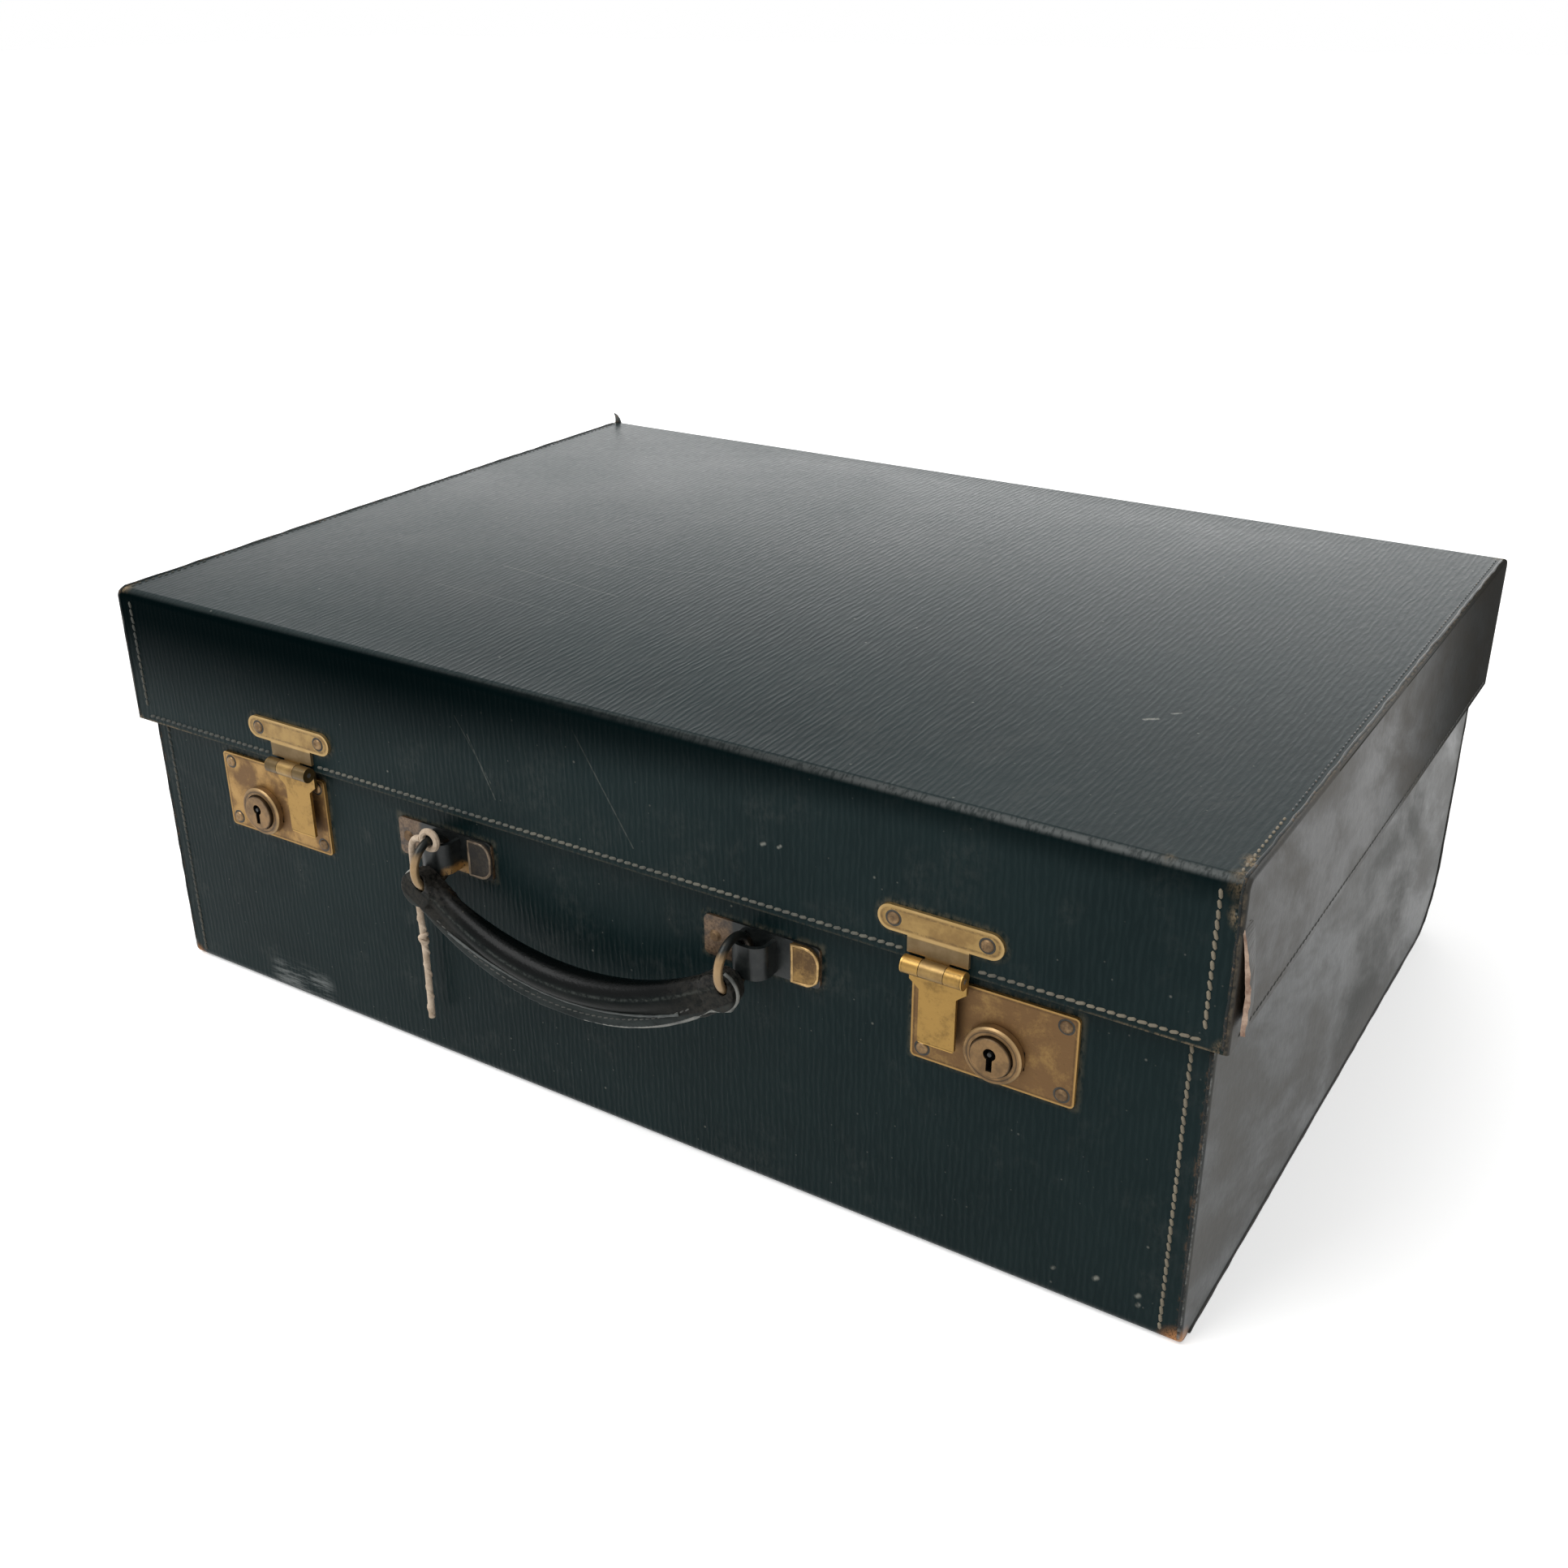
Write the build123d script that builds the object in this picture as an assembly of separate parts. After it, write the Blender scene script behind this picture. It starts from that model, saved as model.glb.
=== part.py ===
from build123d import *
import math
import os

# Millimetres. X runs along the front, the front faces -Y, +Z is up,
# and the origin is the middle of the base, on the surface the case stands on.

# Outside of the lid, over its leather
lid_length = 450.0
lid_depth = 320.0
edge_height = 165.0
seam_height = 110.6
crown_rise = 3.5
crown_end_rise = 0.4
lid_edge_radius = 3.5
seam_edge_radius = 1.2

# Thicknesses of the walls
leather = 1.5
lid_board = 2.4
body_board = 4.0
lining = 0.8
top_felt = 1.0
lid_liner_thickness = 3.5
rim_binding = 0.8

# The body, which stands up inside the lid
lid_gap = 0.6
upstand = 12.0
liner_gap = 0.3
body_front_radius = 4.0
body_back_radius = 28.0
back_lean = 3.5
back_lean_top = 24.6

# Butt hinges at the back
hinge_spread = 250.0
hinge_length = 38.0
hinge_sheet = 1.2
hinge_barrel_radius = 1.9
hinge_pin_radius = 0.9
hinge_axis_drop = 1.7
hinge_axis_out = 1.6
hinge_lid_leaf_foot = 1.9
hinge_lid_leaf_height = 17.5
hinge_body_leaf_height = 18.0
hinge_step_thickness = 1.3

# Fits between turning and sliding pieces
pin_clearance = 0.05
knuckle_gap = 0.2
slide_clearance = 0.2

# Places of the locks: in from the ends of the lid, and down from the seam
hasp_inset = 89.0
lock_plate_offset = 17.1
button_offset = 18.4
lock_plate_drop = 21.1
button_drop = 4.7
staple_drop = 0.5

# Lock plates on the body
lock_plate_length = 55.0
lock_plate_height = 31.6
lock_plate_sheet = 1.2
lock_plate_corner = 1.6
lock_rivet_spread = 46.8
lock_rivet_rise = 24.0
rivet_radius = 2.3
rivet_top_radius = 1.5
rivet_height = 0.8
rivet_shank = 1.4
rivet_length = 3.6

# Lock cases behind the plates
lock_case_depth = 4.9
lock_case_sheet = 0.7
lock_case_height = 25.0
lock_case_rivet_clearance = 1.0

# Sliding buttons with their keyholes
button_travel = 6.0
button_radius = 9.8
button_rim_width = 2.6
button_rim_height = 2.9
button_face_radius = 6.8
button_face_height = 4.3
button_plate_gap = 0.15
stem_width = 7.0
stem_height = 6.2
button_chamfer = 0.6
keyhole_radius = 2.1
keyhole_lift = 1.4
keyhole_slot_width = 2.0
keyhole_slot_drop = 4.6
keyhole_depth = 3.0
key_pin_radius = 0.7
slide_sheet = 1.1
slide_height = 6.4
slide_tail = 11.6
bolt_radius = 0.9
bolt_gap = 0.5

# Hasps, hinged to plates on the lid
hasp_sheet = 1.2
hasp_lid_clearance = 0.1
hasp_axis_drop = 0.3
hasp_barrel_radius = 2.9
hasp_pin_radius = 0.9
hasp_barrel_length = 20.6
hasp_middle_knuckle = 8.2
hasp_leaf_back = 0.8
hasp_head_half_width = 9.7
hasp_head_drop = 6.6
hasp_shoulder_drop = 9.4
hasp_tab_half_width = 6.3
hasp_tab_drop = 28.4
hasp_tab_corner = 0.8
hasp_bar_offset = 0.45
hasp_bar_length = 42.0
hasp_bar_width = 8.8
hasp_bar_foot = 8.4
hasp_rivet_spread = 31.1
staple_width = 3.2
staple_height = 5.0
staple_reach = 7.4
staple_eye_radius = 1.1
staple_eye_inset = 1.6
staple_clearance = 0.7
notch_drop = 4.6

# Handle plates, keepers and rings
handle_centre = 2.2
ring_spread = 129.2
keeper_spread = 134.6
handle_plate_spread = 136.2
handle_plate_length = 44.6
handle_plate_height = 15.0
handle_plate_sheet = 1.0
handle_plate_corner = 2.0
handle_rivet_spread = 36.0
keeper_width = 13.4
keeper_wall = 1.6
keeper_reach = 9.3
keeper_corner = 5.2
keeper_height = 12.0
ring_drop = 17.1
ring_radius = 9.0
ring_wire = 1.6
ring_sides = 12
ring_plate_gap = 0.2

# The grip, a leather roll with a stitched flange under it
grip_hang_angle = 17.0
eye_clearance = 0.55
grip_shift = -2.4
tab_thickness = 6.4
tab_end_radius = 6.4
tab_slope = 36.0
roll_sag = 18.0
roll_depth = 12.5
roll_height = 11.6
roll_end_depth = 6.4
roll_end_height = 10.4
roll_bow = 2.0
flange_shift = -0.5
flange_drop = 11.6
flange_thickness = 5.6
flange_end_reach = 2.4
flange_end_drop = 3.0
flange_rim = 0.5
piping_radius = 1.3
piping_sides = 8

# The string tied to the left ring
string_radius = 1.25
string_ring_angle = 89.0
string_sides = 8
string_ring_clearance = 0.5

# Places worked out from the sizes above
lid_half_x = lid_length / 2
lid_half_y = lid_depth / 2
strip_half_x = lid_half_x - leather
lid_inner_x = lid_half_x - leather - lid_board
lid_inner_y = lid_half_y - leather - lid_board
board_top = edge_height - leather - top_felt
board_underside = board_top - lid_board
body_half_x = lid_inner_x - lid_gap
body_half_y = lid_inner_y - lid_gap
body_strip_x = body_half_x - leather
body_top = seam_height + upstand
wall_top = body_top - rim_binding
wall = leather + body_board
front = -body_half_y
lid_front = -lid_half_y
hinge_y = lid_half_y + hinge_axis_out
hinge_z = seam_height - hinge_axis_drop
hasp_y = lid_front - hasp_lid_clearance - hasp_barrel_radius
hasp_z = seam_height - hasp_axis_drop
hasp_centre = lid_half_x - hasp_inset
lock_plate_centre = hasp_centre + lock_plate_offset
button_centre = hasp_centre + button_offset
lock_plate_middle = seam_height - lock_plate_drop
button_middle = lock_plate_middle - button_drop
staple_middle = lock_plate_middle - staple_drop
back_lean_height = seam_height - back_lean_top
ring_middle = seam_height - ring_drop
ring_places = (handle_centre - ring_spread / 2, handle_centre + ring_spread / 2)
keeper_places = (handle_centre - keeper_spread / 2, handle_centre + keeper_spread / 2)
handle_plate_places = (handle_centre - handle_plate_spread / 2, handle_centre + handle_plate_spread / 2)
lock_face = front - lock_plate_sheet
handle_face = front - handle_plate_sheet
ring_y = handle_face - ring_plate_gap - ring_wire - ring_radius
os.makedirs("parts", exist_ok=True)


def keep(node, solid):
    """Write one piece to its own file."""
    export_step(solid, f"parts/{node}.step")


def block(x_range, y_range, z_range):
    """A box between the two ends of each range."""
    ranges = (x_range, y_range, z_range)
    middle = [(low + high) / 2 for low, high in ranges]
    size = [high - low for low, high in ranges]
    return Pos(*middle) * Box(*size)


def shell_block(half_x, half_y, low, high):
    """A box centred on the middle of the case."""
    return block((-half_x, half_x), (-half_y, half_y), (low, high))


def rod(axis_range, y, z, radius):
    """A round bar along X."""
    low, high = axis_range
    return Pos((low + high) / 2, y, z) * Rot(0, 90, 0) * Cylinder(radius, high - low)


def facing_front(sketch, y, thickness):
    """A plate drawn in X and Z, its front face at y, with its thickness behind it."""
    placed = Plane(origin=(0, y, 0), x_dir=(1, 0, 0), z_dir=(0, -1, 0)) * sketch
    return extrude(placed, -thickness)


def rivet(x, z, face, length):
    """A rivet whose head sits on a front face, with its square shank going back into the wall."""
    head = Cone(rivet_radius, rivet_top_radius, rivet_height, align=(Align.CENTER, Align.CENTER, Align.MIN))
    shank = Box(rivet_shank, rivet_shank, length, align=(Align.CENTER, Align.CENTER, Align.MAX))
    return Pos(x, face, z) * Rot(90, 0, 0) * (head + shank)


def shank_holes(places, face, length):
    """Square holes along Y for the shanks of rivets."""
    half = rivet_shank / 2
    return [block((x - half, x + half), (face, face + length), (z - half, z + half)) for x, z in places]


def rounded_corner(face, point, radius):
    """Round one corner of a flat outline, where the radius leaves anything to round."""
    if radius <= 0:
        return face
    corner = face.vertices().sort_by_distance(Vector(*point))[0]
    return fillet(corner, radius)


def lid_section(x, inset, rise):
    """The lid's outline across the case at x, drawn in from its leather by inset."""
    half = lid_half_y - inset
    top = edge_height - inset
    radius = lid_edge_radius - inset
    flat = half - radius
    outline = [
        Line((-half, seam_height), (-half, top - radius)),
        CenterArc((-flat, top - radius), radius, 90, 90),
        ThreePointArc((-flat, top), (0, top + rise), (flat, top)),
        CenterArc((flat, top - radius), radius, 0, 90),
        Line((half, top - radius), (half, seam_height)),
        Line((half, seam_height), (-half, seam_height)),
    ]
    return Plane.YZ.offset(x) * make_face(outline)


def lid_block(inset):
    """The crowned block inside the lid's leather strip, or the strip's own outside."""
    stations = ((-1, crown_end_rise), (-0.5, 0.75 * crown_rise), (0, crown_rise),
                (0.5, 0.75 * crown_rise), (1, crown_end_rise))
    return loft([lid_section(share * strip_half_x, inset, rise) for share, rise in stations])


def body_profile(inset, top):
    """The body's outline across the case, its back leaning in above a large round."""
    half = body_half_y - inset
    heel = half - back_lean
    outline = Polyline((-half, top), (-half, inset), (heel, inset), (half, back_lean_height),
                       (half, top), close=True)
    face = make_face(outline)
    face = rounded_corner(face, (-half, inset, 0), body_front_radius - inset)
    return rounded_corner(face, (heel, inset, 0), body_back_radius - inset)


def body_block(inset, half_x, top):
    """The body's outline run between both ends."""
    return extrude(Plane.YZ.offset(-half_x) * body_profile(inset, top), 2 * half_x)


def end_leather(outline, side, half_x, top_open):
    """The leather of one end, its outer edge rounded except along the seam."""
    panel = extrude(outline, side * leather)
    outer = panel.faces().sort_by(Axis.X)[-1 if side > 0 else 0]
    edges = outer.edges().sort_by(Axis.Z)
    rounded = edges[:-1] if top_open else edges[1:]
    return fillet(rounded, seam_edge_radius)


def lock_pocket(side):
    """The room that the lock case takes in the front wall, as X and Z ranges."""
    half_x = lock_rivet_spread / 2 - rivet_shank / 2 - lock_case_rivet_clearance
    centre = side * lock_plate_centre
    low = lock_plate_middle - lock_case_height / 2
    return (centre - half_x, centre + half_x), (low, low + lock_case_height)


def staple_channel(side):
    """The open groove in which the staple comes up with the lid."""
    half = staple_width / 2 + staple_clearance
    centre = side * hasp_centre
    depth = lock_case_depth - lock_case_sheet
    return block((centre - half, centre + half), (front, front + depth),
                 (staple_middle - notch_drop, body_top))


def front_wall_cuts():
    """Pockets and grooves for both locks, cut from the front."""
    cuts = []
    for side in (-1, 1):
        x_range, z_range = lock_pocket(side)
        cuts.append(block(x_range, (front, front + lock_case_depth), z_range))
        cuts.append(staple_channel(side))
    return cuts


def lock_rivet_places(side):
    """Middles of a lock plate's four rivets."""
    return [(side * lock_plate_centre + across * lock_rivet_spread / 2,
             lock_plate_middle + up * lock_rivet_rise / 2) for across in (-1, 1) for up in (-1, 1)]


def handle_rivet_places(plate_x):
    """Middles of a handle plate's two rivets."""
    return [(plate_x + across * handle_rivet_spread / 2, ring_middle) for across in (-1, 1)]


def body_rivet_holes():
    """All the shank holes in the body's front wall."""
    holes = []
    for side in (-1, 1):
        holes += shank_holes(lock_rivet_places(side), lock_face, rivet_length)
    for plate_x in handle_plate_places:
        holes += shank_holes(handle_rivet_places(plate_x), handle_face, rivet_length)
    return holes


def make_body():
    """Board, leather, lining and rim binding of the lower part."""
    cuts = front_wall_cuts() + body_rivet_holes()
    strip = body_block(0, body_strip_x, wall_top) - body_block(leather, body_strip_x, wall_top)
    keep("body_wrap_leather", strip - cuts)
    board_inner_x = body_strip_x - body_board
    room = body_block(wall, board_inner_x, wall_top)
    carcass = body_block(leather, body_strip_x, wall_top) - room
    keep("body_carcass", carcass - cuts)
    inner = body_block(wall + lining, board_inner_x - lining, wall_top)
    keep("body_lining", room - inner)
    binding = shell_block(body_half_x, body_half_y, wall_top, body_top)
    mouth = shell_block(board_inner_x - lining, body_half_y - wall - lining, wall_top, body_top)
    keep("body_rim_binding", binding - mouth - cuts)
    for side, name in ((-1, "left"), (1, "right")):
        outline = Plane.YZ.offset(side * body_strip_x) * body_profile(0, wall_top)
        keep(f"body_end_leather_{name}", end_leather(outline, side, body_strip_x, True))


def lid_rivet_places(side):
    """Middles of the two rivets of a hasp's lid plate."""
    bar_x = side * (hasp_centre + hasp_bar_offset)
    bar_z = seam_height + hasp_bar_foot + hasp_bar_width / 2
    return [(bar_x + across * hasp_rivet_spread / 2, bar_z) for across in (-1, 1)]


def make_lid():
    """Board, leather, felt, liner and lining of the lid."""
    holes = []
    for side in (-1, 1):
        holes += shank_holes(lid_rivet_places(side), lid_front - hasp_sheet, rivet_length)
    core = lid_block(leather)
    keep("lid_wrap_leather", lid_block(0) - core - holes)
    under_felt = shell_block(lid_length, lid_depth, 0, board_top)
    keep("lid_padding", core - under_felt)
    room = shell_block(lid_inner_x, lid_inner_y, seam_height, board_underside)
    keep("lid_carcass", (core & under_felt) - room - holes)
    for side, name in ((-1, "left"), (1, "right")):
        outline = lid_section(side * strip_half_x, 0, crown_end_rise)
        keep(f"lid_end_leather_{name}", end_leather(outline, side, strip_half_x, False))
    liner_foot = body_top + liner_gap
    liner_x = lid_inner_x - lid_liner_thickness
    liner_y = lid_inner_y - lid_liner_thickness
    frame = shell_block(lid_inner_x, lid_inner_y, liner_foot, board_underside)
    mouth = shell_block(liner_x, liner_y, liner_foot, board_underside)
    keep("lid_liner", frame - mouth)
    hollow = shell_block(liner_x - lining, liner_y - lining, liner_foot, board_underside - lining)
    keep("lid_lining", mouth - hollow)


def hinge_knuckles(side):
    """X ranges of a butt hinge's three knuckles and of the whole barrel."""
    low = side * hinge_spread / 2 - hinge_length / 2
    length = (hinge_length - 2 * knuckle_gap) / 3
    step = length + knuckle_gap
    return [(low + i * step, low + i * step + length) for i in range(3)], (low, low + hinge_length)


def make_hinges():
    """Two brass butt hinges on the back."""
    bore = hinge_pin_radius + pin_clearance
    lid_face = lid_half_y + hinge_sheet
    body_face = body_half_y + hinge_sheet
    lid_leaf_low = seam_height + hinge_lid_leaf_foot
    body_leaf_high = hinge_z - hinge_barrel_radius + hinge_sheet / 6
    for side, name in ((-1, "left"), (1, "right")):
        knuckles, barrel = hinge_knuckles(side)
        hole = rod(barrel, hinge_y, hinge_z, bore)
        low = lid_leaf_low
        high = low + hinge_lid_leaf_height
        leaf = block(barrel, (lid_half_y, lid_face), (low, high))
        leaf += block(knuckles[1], (lid_half_y, lid_face), (hinge_z, low))
        leaf += rod(knuckles[1], hinge_y, hinge_z, hinge_barrel_radius)
        keep(f"hinge_lid_leaf_{name}", leaf - hole)
        low = body_leaf_high - hinge_body_leaf_height
        step_low = body_leaf_high - hinge_step_thickness
        leaf = block(barrel, (body_half_y, body_face), (low, body_leaf_high - hinge_step_thickness / 2))
        for place in (0, 2):
            leaf += block(knuckles[place], (body_half_y, hinge_y), (step_low, body_leaf_high))
            leaf += rod(knuckles[place], hinge_y, hinge_z, hinge_barrel_radius)
        keep(f"hinge_body_leaf_{name}", leaf - hole)
        keep(f"hinge_pin_{name}", rod(barrel, hinge_y, hinge_z, hinge_pin_radius))


def for_side(side, solid):
    """The right-hand piece, or its mirror image for the left."""
    return solid if side > 0 else mirror(solid, Plane.YZ)


def button_slot():
    """The slot in which the right button's stem runs outwards."""
    low = button_centre - stem_width / 2 - slide_clearance
    high = button_centre + button_travel + stem_width / 2 + slide_clearance
    half = stem_height / 2 + slide_clearance
    return block((low, high), (lock_face, front), (button_middle - half, button_middle + half))


def make_lock_plate():
    """The right lock plate, notched at its top for the staple."""
    outline = RectangleRounded(lock_plate_length, lock_plate_height, lock_plate_corner)
    plate = facing_front(Pos(lock_plate_centre, lock_plate_middle) * outline, lock_face, lock_plate_sheet)
    half = staple_width / 2 + staple_clearance
    notch = block((hasp_centre - half, hasp_centre + half), (lock_face, front),
                  (staple_middle - notch_drop, body_top))
    holes = shank_holes(lock_rivet_places(1), lock_face, lock_plate_sheet)
    return plate - notch - button_slot() - holes


def make_lock_case():
    """The right lock's tray, open to the plate and grooved for the staple."""
    x_range, z_range = lock_pocket(1)
    outer = block(x_range, (front, front + lock_case_depth), z_range)
    sheet = lock_case_sheet
    room = block((x_range[0] + sheet, x_range[1] - sheet), (front, front + lock_case_depth - sheet),
                 (z_range[0] + sheet, z_range[1] - sheet))
    return outer - room - staple_channel(1)


def make_lock_rivets():
    """The right lock plate's four rivets."""
    rivets = [rivet(x, z, lock_face, rivet_length) for x, z in lock_rivet_places(1)]
    return Compound(children=rivets)


def button_shift(side):
    """How far outwards the button stands from its closed place at rest."""
    return 0 if side > 0 else button_travel


def front_disc(radius, back, front_face):
    """A disc about the right button's axis, between two Y planes."""
    middle = (back + front_face) / 2
    return Pos(button_centre, middle, button_middle) * Rot(90, 0, 0) * Cylinder(radius, back - front_face)


def make_button():
    """The right sliding button: a rimmed disc with a raised keyhole face, and its stem."""
    flange = lock_face - button_plate_gap
    rim = lock_face - button_rim_height
    face = lock_face - button_face_height
    button = front_disc(button_radius, flange, rim)
    button = chamfer(button.faces().sort_by(Axis.Y)[0].edges(), button_chamfer)
    step = (rim + flange) / 2
    button -= front_disc(button_radius - button_rim_width, step, rim)
    cap = front_disc(button_face_radius, step, face)
    button += chamfer(cap.faces().sort_by(Axis.Y)[0].edges(), button_chamfer / 2)
    stem_back = front + button_plate_gap
    button += block((button_centre - stem_width / 2, button_centre + stem_width / 2),
                    (step, stem_back),
                    (button_middle - stem_height / 2, button_middle + stem_height / 2))
    keyhole = Pos(button_centre, face + keyhole_depth / 2, button_middle + keyhole_lift)
    hole = keyhole * Rot(90, 0, 0) * Cylinder(keyhole_radius, keyhole_depth)
    slot = block((button_centre - keyhole_slot_width / 2, button_centre + keyhole_slot_width / 2),
                 (face, face + keyhole_depth), (button_middle - keyhole_slot_drop, button_middle + keyhole_lift))
    return button - hole - slot


def make_key_pin():
    """The pin that stands in the keyhole."""
    face = lock_face - button_face_height
    place = Pos(button_centre, face + keyhole_depth / 2, button_middle + keyhole_lift)
    return place * Rot(90, 0, 0) * Cylinder(key_pin_radius, keyhole_depth)


def make_slide():
    """The slide behind the right lock plate, with the bolt that goes to the staple."""
    near = front + button_plate_gap
    far = near + slide_sheet
    tip = hasp_centre + staple_width / 2 + bolt_gap
    tail = button_centre + slide_tail
    bolt_y = front + staple_reach_in() - staple_eye_inset
    plate_low = hasp_centre + hasp_tab_half_width
    low = min(button_middle, staple_middle) - slide_height / 2
    high = max(button_middle, staple_middle) + slide_height / 2
    slide = block((plate_low, tail), (near, far), (low, high))
    return slide + rod((tip, plate_low + slide_height / 2), bolt_y, staple_middle, bolt_radius)


def staple_reach_in():
    """How far behind the body's front face the staple's end stands."""
    return lid_front - front + hasp_leaf_back + staple_reach


def make_locks():
    """Plates, cases, rivets and sliding buttons of both locks."""
    for side, name in ((-1, "left"), (1, "right")):
        shift = Pos(side * button_shift(side), 0, 0)
        keep(f"lock_plate_{name}", for_side(side, make_lock_plate()))
        keep(f"lock_case_{name}", for_side(side, make_lock_case()))
        keep(f"lock_rivets_{name}", for_side(side, make_lock_rivets()))
        keep(f"lock_button_{name}", shift * for_side(side, make_button()))
        keep(f"lock_slide_{name}", shift * for_side(side, make_slide()))
        keep(f"keyhole_pin_{name}", shift * for_side(side, make_key_pin()))


def hasp_knuckles():
    """X ranges of the right hasp's knuckles, outer, middle and outer."""
    half = hasp_barrel_length / 2
    middle = hasp_middle_knuckle / 2
    outer = middle + knuckle_gap
    return ((hasp_centre - half, hasp_centre - outer), (hasp_centre - middle, hasp_centre + middle),
            (hasp_centre + outer, hasp_centre + half))


def make_hasp_lid_plate():
    """The right hasp's plate on the lid: a round-ended bar, its neck and the middle knuckle."""
    knuckle = hasp_knuckles()[1]
    bar_x = hasp_centre + hasp_bar_offset
    bar_low = seam_height + hasp_bar_foot
    bar = Pos(bar_x, bar_low + hasp_bar_width / 2) * SlotOverall(hasp_bar_length, hasp_bar_width)
    plate = facing_front(bar, lid_front - hasp_sheet, hasp_sheet)
    neck_half = hasp_barrel_length / 2
    neck_low = hasp_z + hasp_barrel_radius + knuckle_gap
    y_range = (lid_front - hasp_sheet, lid_front)
    plate += block((hasp_centre - neck_half, hasp_centre + neck_half), y_range,
                   (neck_low, bar_low + hasp_bar_width / 2))
    plate += block(knuckle, y_range, (hasp_z, neck_low))
    plate += rod(knuckle, hasp_y, hasp_z, hasp_barrel_radius)
    holes = shank_holes(lid_rivet_places(1), lid_front - hasp_sheet, hasp_sheet)
    return plate - rod(knuckle, hasp_y, hasp_z, hasp_pin_radius + pin_clearance) - holes


def make_hasp_leaf():
    """The right hasp's hanging leaf, curved in from its head to a square-ended tab."""
    left, _, right = hasp_knuckles()
    c = hasp_centre
    head = hasp_head_half_width
    tab = hasp_tab_half_width
    shoulder = hasp_z - hasp_head_drop
    waist = hasp_z - hasp_shoulder_drop
    foot = hasp_z - hasp_tab_drop
    corner = hasp_tab_corner
    bend = (head - tab) * 0.3
    outline = [
        Line((c - head, hasp_z), (c - head, shoulder)),
        ThreePointArc((c - head, shoulder), (c - tab - bend, (shoulder + 2 * waist) / 3), (c - tab, waist)),
        Line((c - tab, waist), (c - tab, foot + corner)),
        CenterArc((c - tab + corner, foot + corner), corner, 180, 90),
        Line((c - tab + corner, foot), (c + tab - corner, foot)),
        CenterArc((c + tab - corner, foot + corner), corner, 270, 90),
        Line((c + tab, foot + corner), (c + tab, waist)),
        ThreePointArc((c + tab, waist), (c + tab + bend, (shoulder + 2 * waist) / 3), (c + head, shoulder)),
        Line((c + head, shoulder), (c + head, hasp_z)),
        Line((c + head, hasp_z), (c - head, hasp_z)),
    ]
    face_y = lid_front + hasp_leaf_back - hasp_sheet
    leaf = facing_front(make_face(outline), face_y, hasp_sheet)
    gap = knuckle_gap
    relief_low = hasp_z - hasp_barrel_radius - 2 * gap
    leaf -= block((left[1], right[0]), (hasp_y - hasp_barrel_length, face_y + 2 * hasp_sheet),
                  (relief_low, hasp_z + hasp_barrel_length))
    for knuckle in (left, right):
        leaf += rod(knuckle, hasp_y, hasp_z, hasp_barrel_radius)
    for knuckle in (left, right):
        leaf -= rod(knuckle, hasp_y, hasp_z, hasp_pin_radius + pin_clearance)
    return leaf


def make_staple():
    """The right hasp's staple, with the eye that the bolt goes to."""
    near = lid_front + hasp_leaf_back
    far = near + staple_reach
    x_range = (hasp_centre - staple_width / 2, hasp_centre + staple_width / 2)
    z_range = (staple_middle - staple_height / 2, staple_middle + staple_height / 2)
    staple = block(x_range, (near, far), z_range)
    back_edges = staple.faces().sort_by(Axis.Y)[-1].edges().filter_by(Axis.X)
    staple = fillet(back_edges, staple_eye_inset)
    return staple - rod(x_range, far - staple_eye_inset, staple_middle, staple_eye_radius)


def make_hasps():
    """Both hasps with their lid plates, pins and rivets."""
    pin_range = (hasp_centre - hasp_barrel_length / 2, hasp_centre + hasp_barrel_length / 2)
    for side, name in ((-1, "left"), (1, "right")):
        keep(f"hasp_lid_plate_{name}", for_side(side, make_hasp_lid_plate()))
        keep(f"hasp_leaf_{name}", for_side(side, make_hasp_leaf()))
        keep(f"hasp_staple_{name}", for_side(side, make_staple()))
        keep(f"hasp_pin_{name}", for_side(side, rod(pin_range, hasp_y, hasp_z, hasp_pin_radius)))
        rivets = [rivet(x, z, lid_front - hasp_sheet, rivet_length) for x, z in lid_rivet_places(side)]
        keep(f"hasp_rivets_{name}", Compound(children=rivets))


def make_handle_plate(plate_x, keeper_x):
    """A handle plate with its keeper, a strap bent to a rounded U round the ring."""
    outline = RectangleRounded(handle_plate_length, handle_plate_height, handle_plate_corner)
    plate = facing_front(Pos(plate_x, ring_middle) * outline, handle_face, handle_plate_sheet)
    plate -= shank_holes(handle_rivet_places(plate_x), handle_face, handle_plate_sheet)
    half = keeper_width / 2
    apex = handle_face - keeper_reach
    low = ring_middle - keeper_height / 2
    high = ring_middle + keeper_height / 2
    strap = block((keeper_x - half, keeper_x + half), (apex, handle_face), (low, high))
    strap = fillet(strap.edges().filter_by(Axis.Z).sort_by(Axis.Y)[:2], keeper_corner)
    inner = half - keeper_wall
    bore = block((keeper_x - inner, keeper_x + inner), (apex + keeper_wall, handle_face), (low, high))
    bore = fillet(bore.edges().filter_by(Axis.Z).sort_by(Axis.Y)[:2], keeper_corner - keeper_wall)
    return plate + (strap - bore)


def ring_point(angle):
    """A point of the rings' circle, its angle counted from the front upwards, as y and z."""
    turn = math.radians(angle)
    return ring_y - ring_radius * math.cos(turn), ring_middle + ring_radius * math.sin(turn)


def hoop(radius, wire, sides):
    """A hoop of wire whose section is a regular polygon, round the Z axis."""
    section = Plane.XZ * Pos(radius, 0) * RegularPolygon(wire, sides)
    return revolve(section, Axis.Z)


def ring_hoop(x, wire):
    """A ring standing across the case's front."""
    return Pos(x, ring_y, ring_middle) * Rot(0, 90, 0) * hoop(ring_radius, wire, ring_sides)


grip_x = handle_centre + grip_shift
grip_half = ring_spread / 2
tab_y, tab_z = ring_point(grip_hang_angle - 90)


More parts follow.
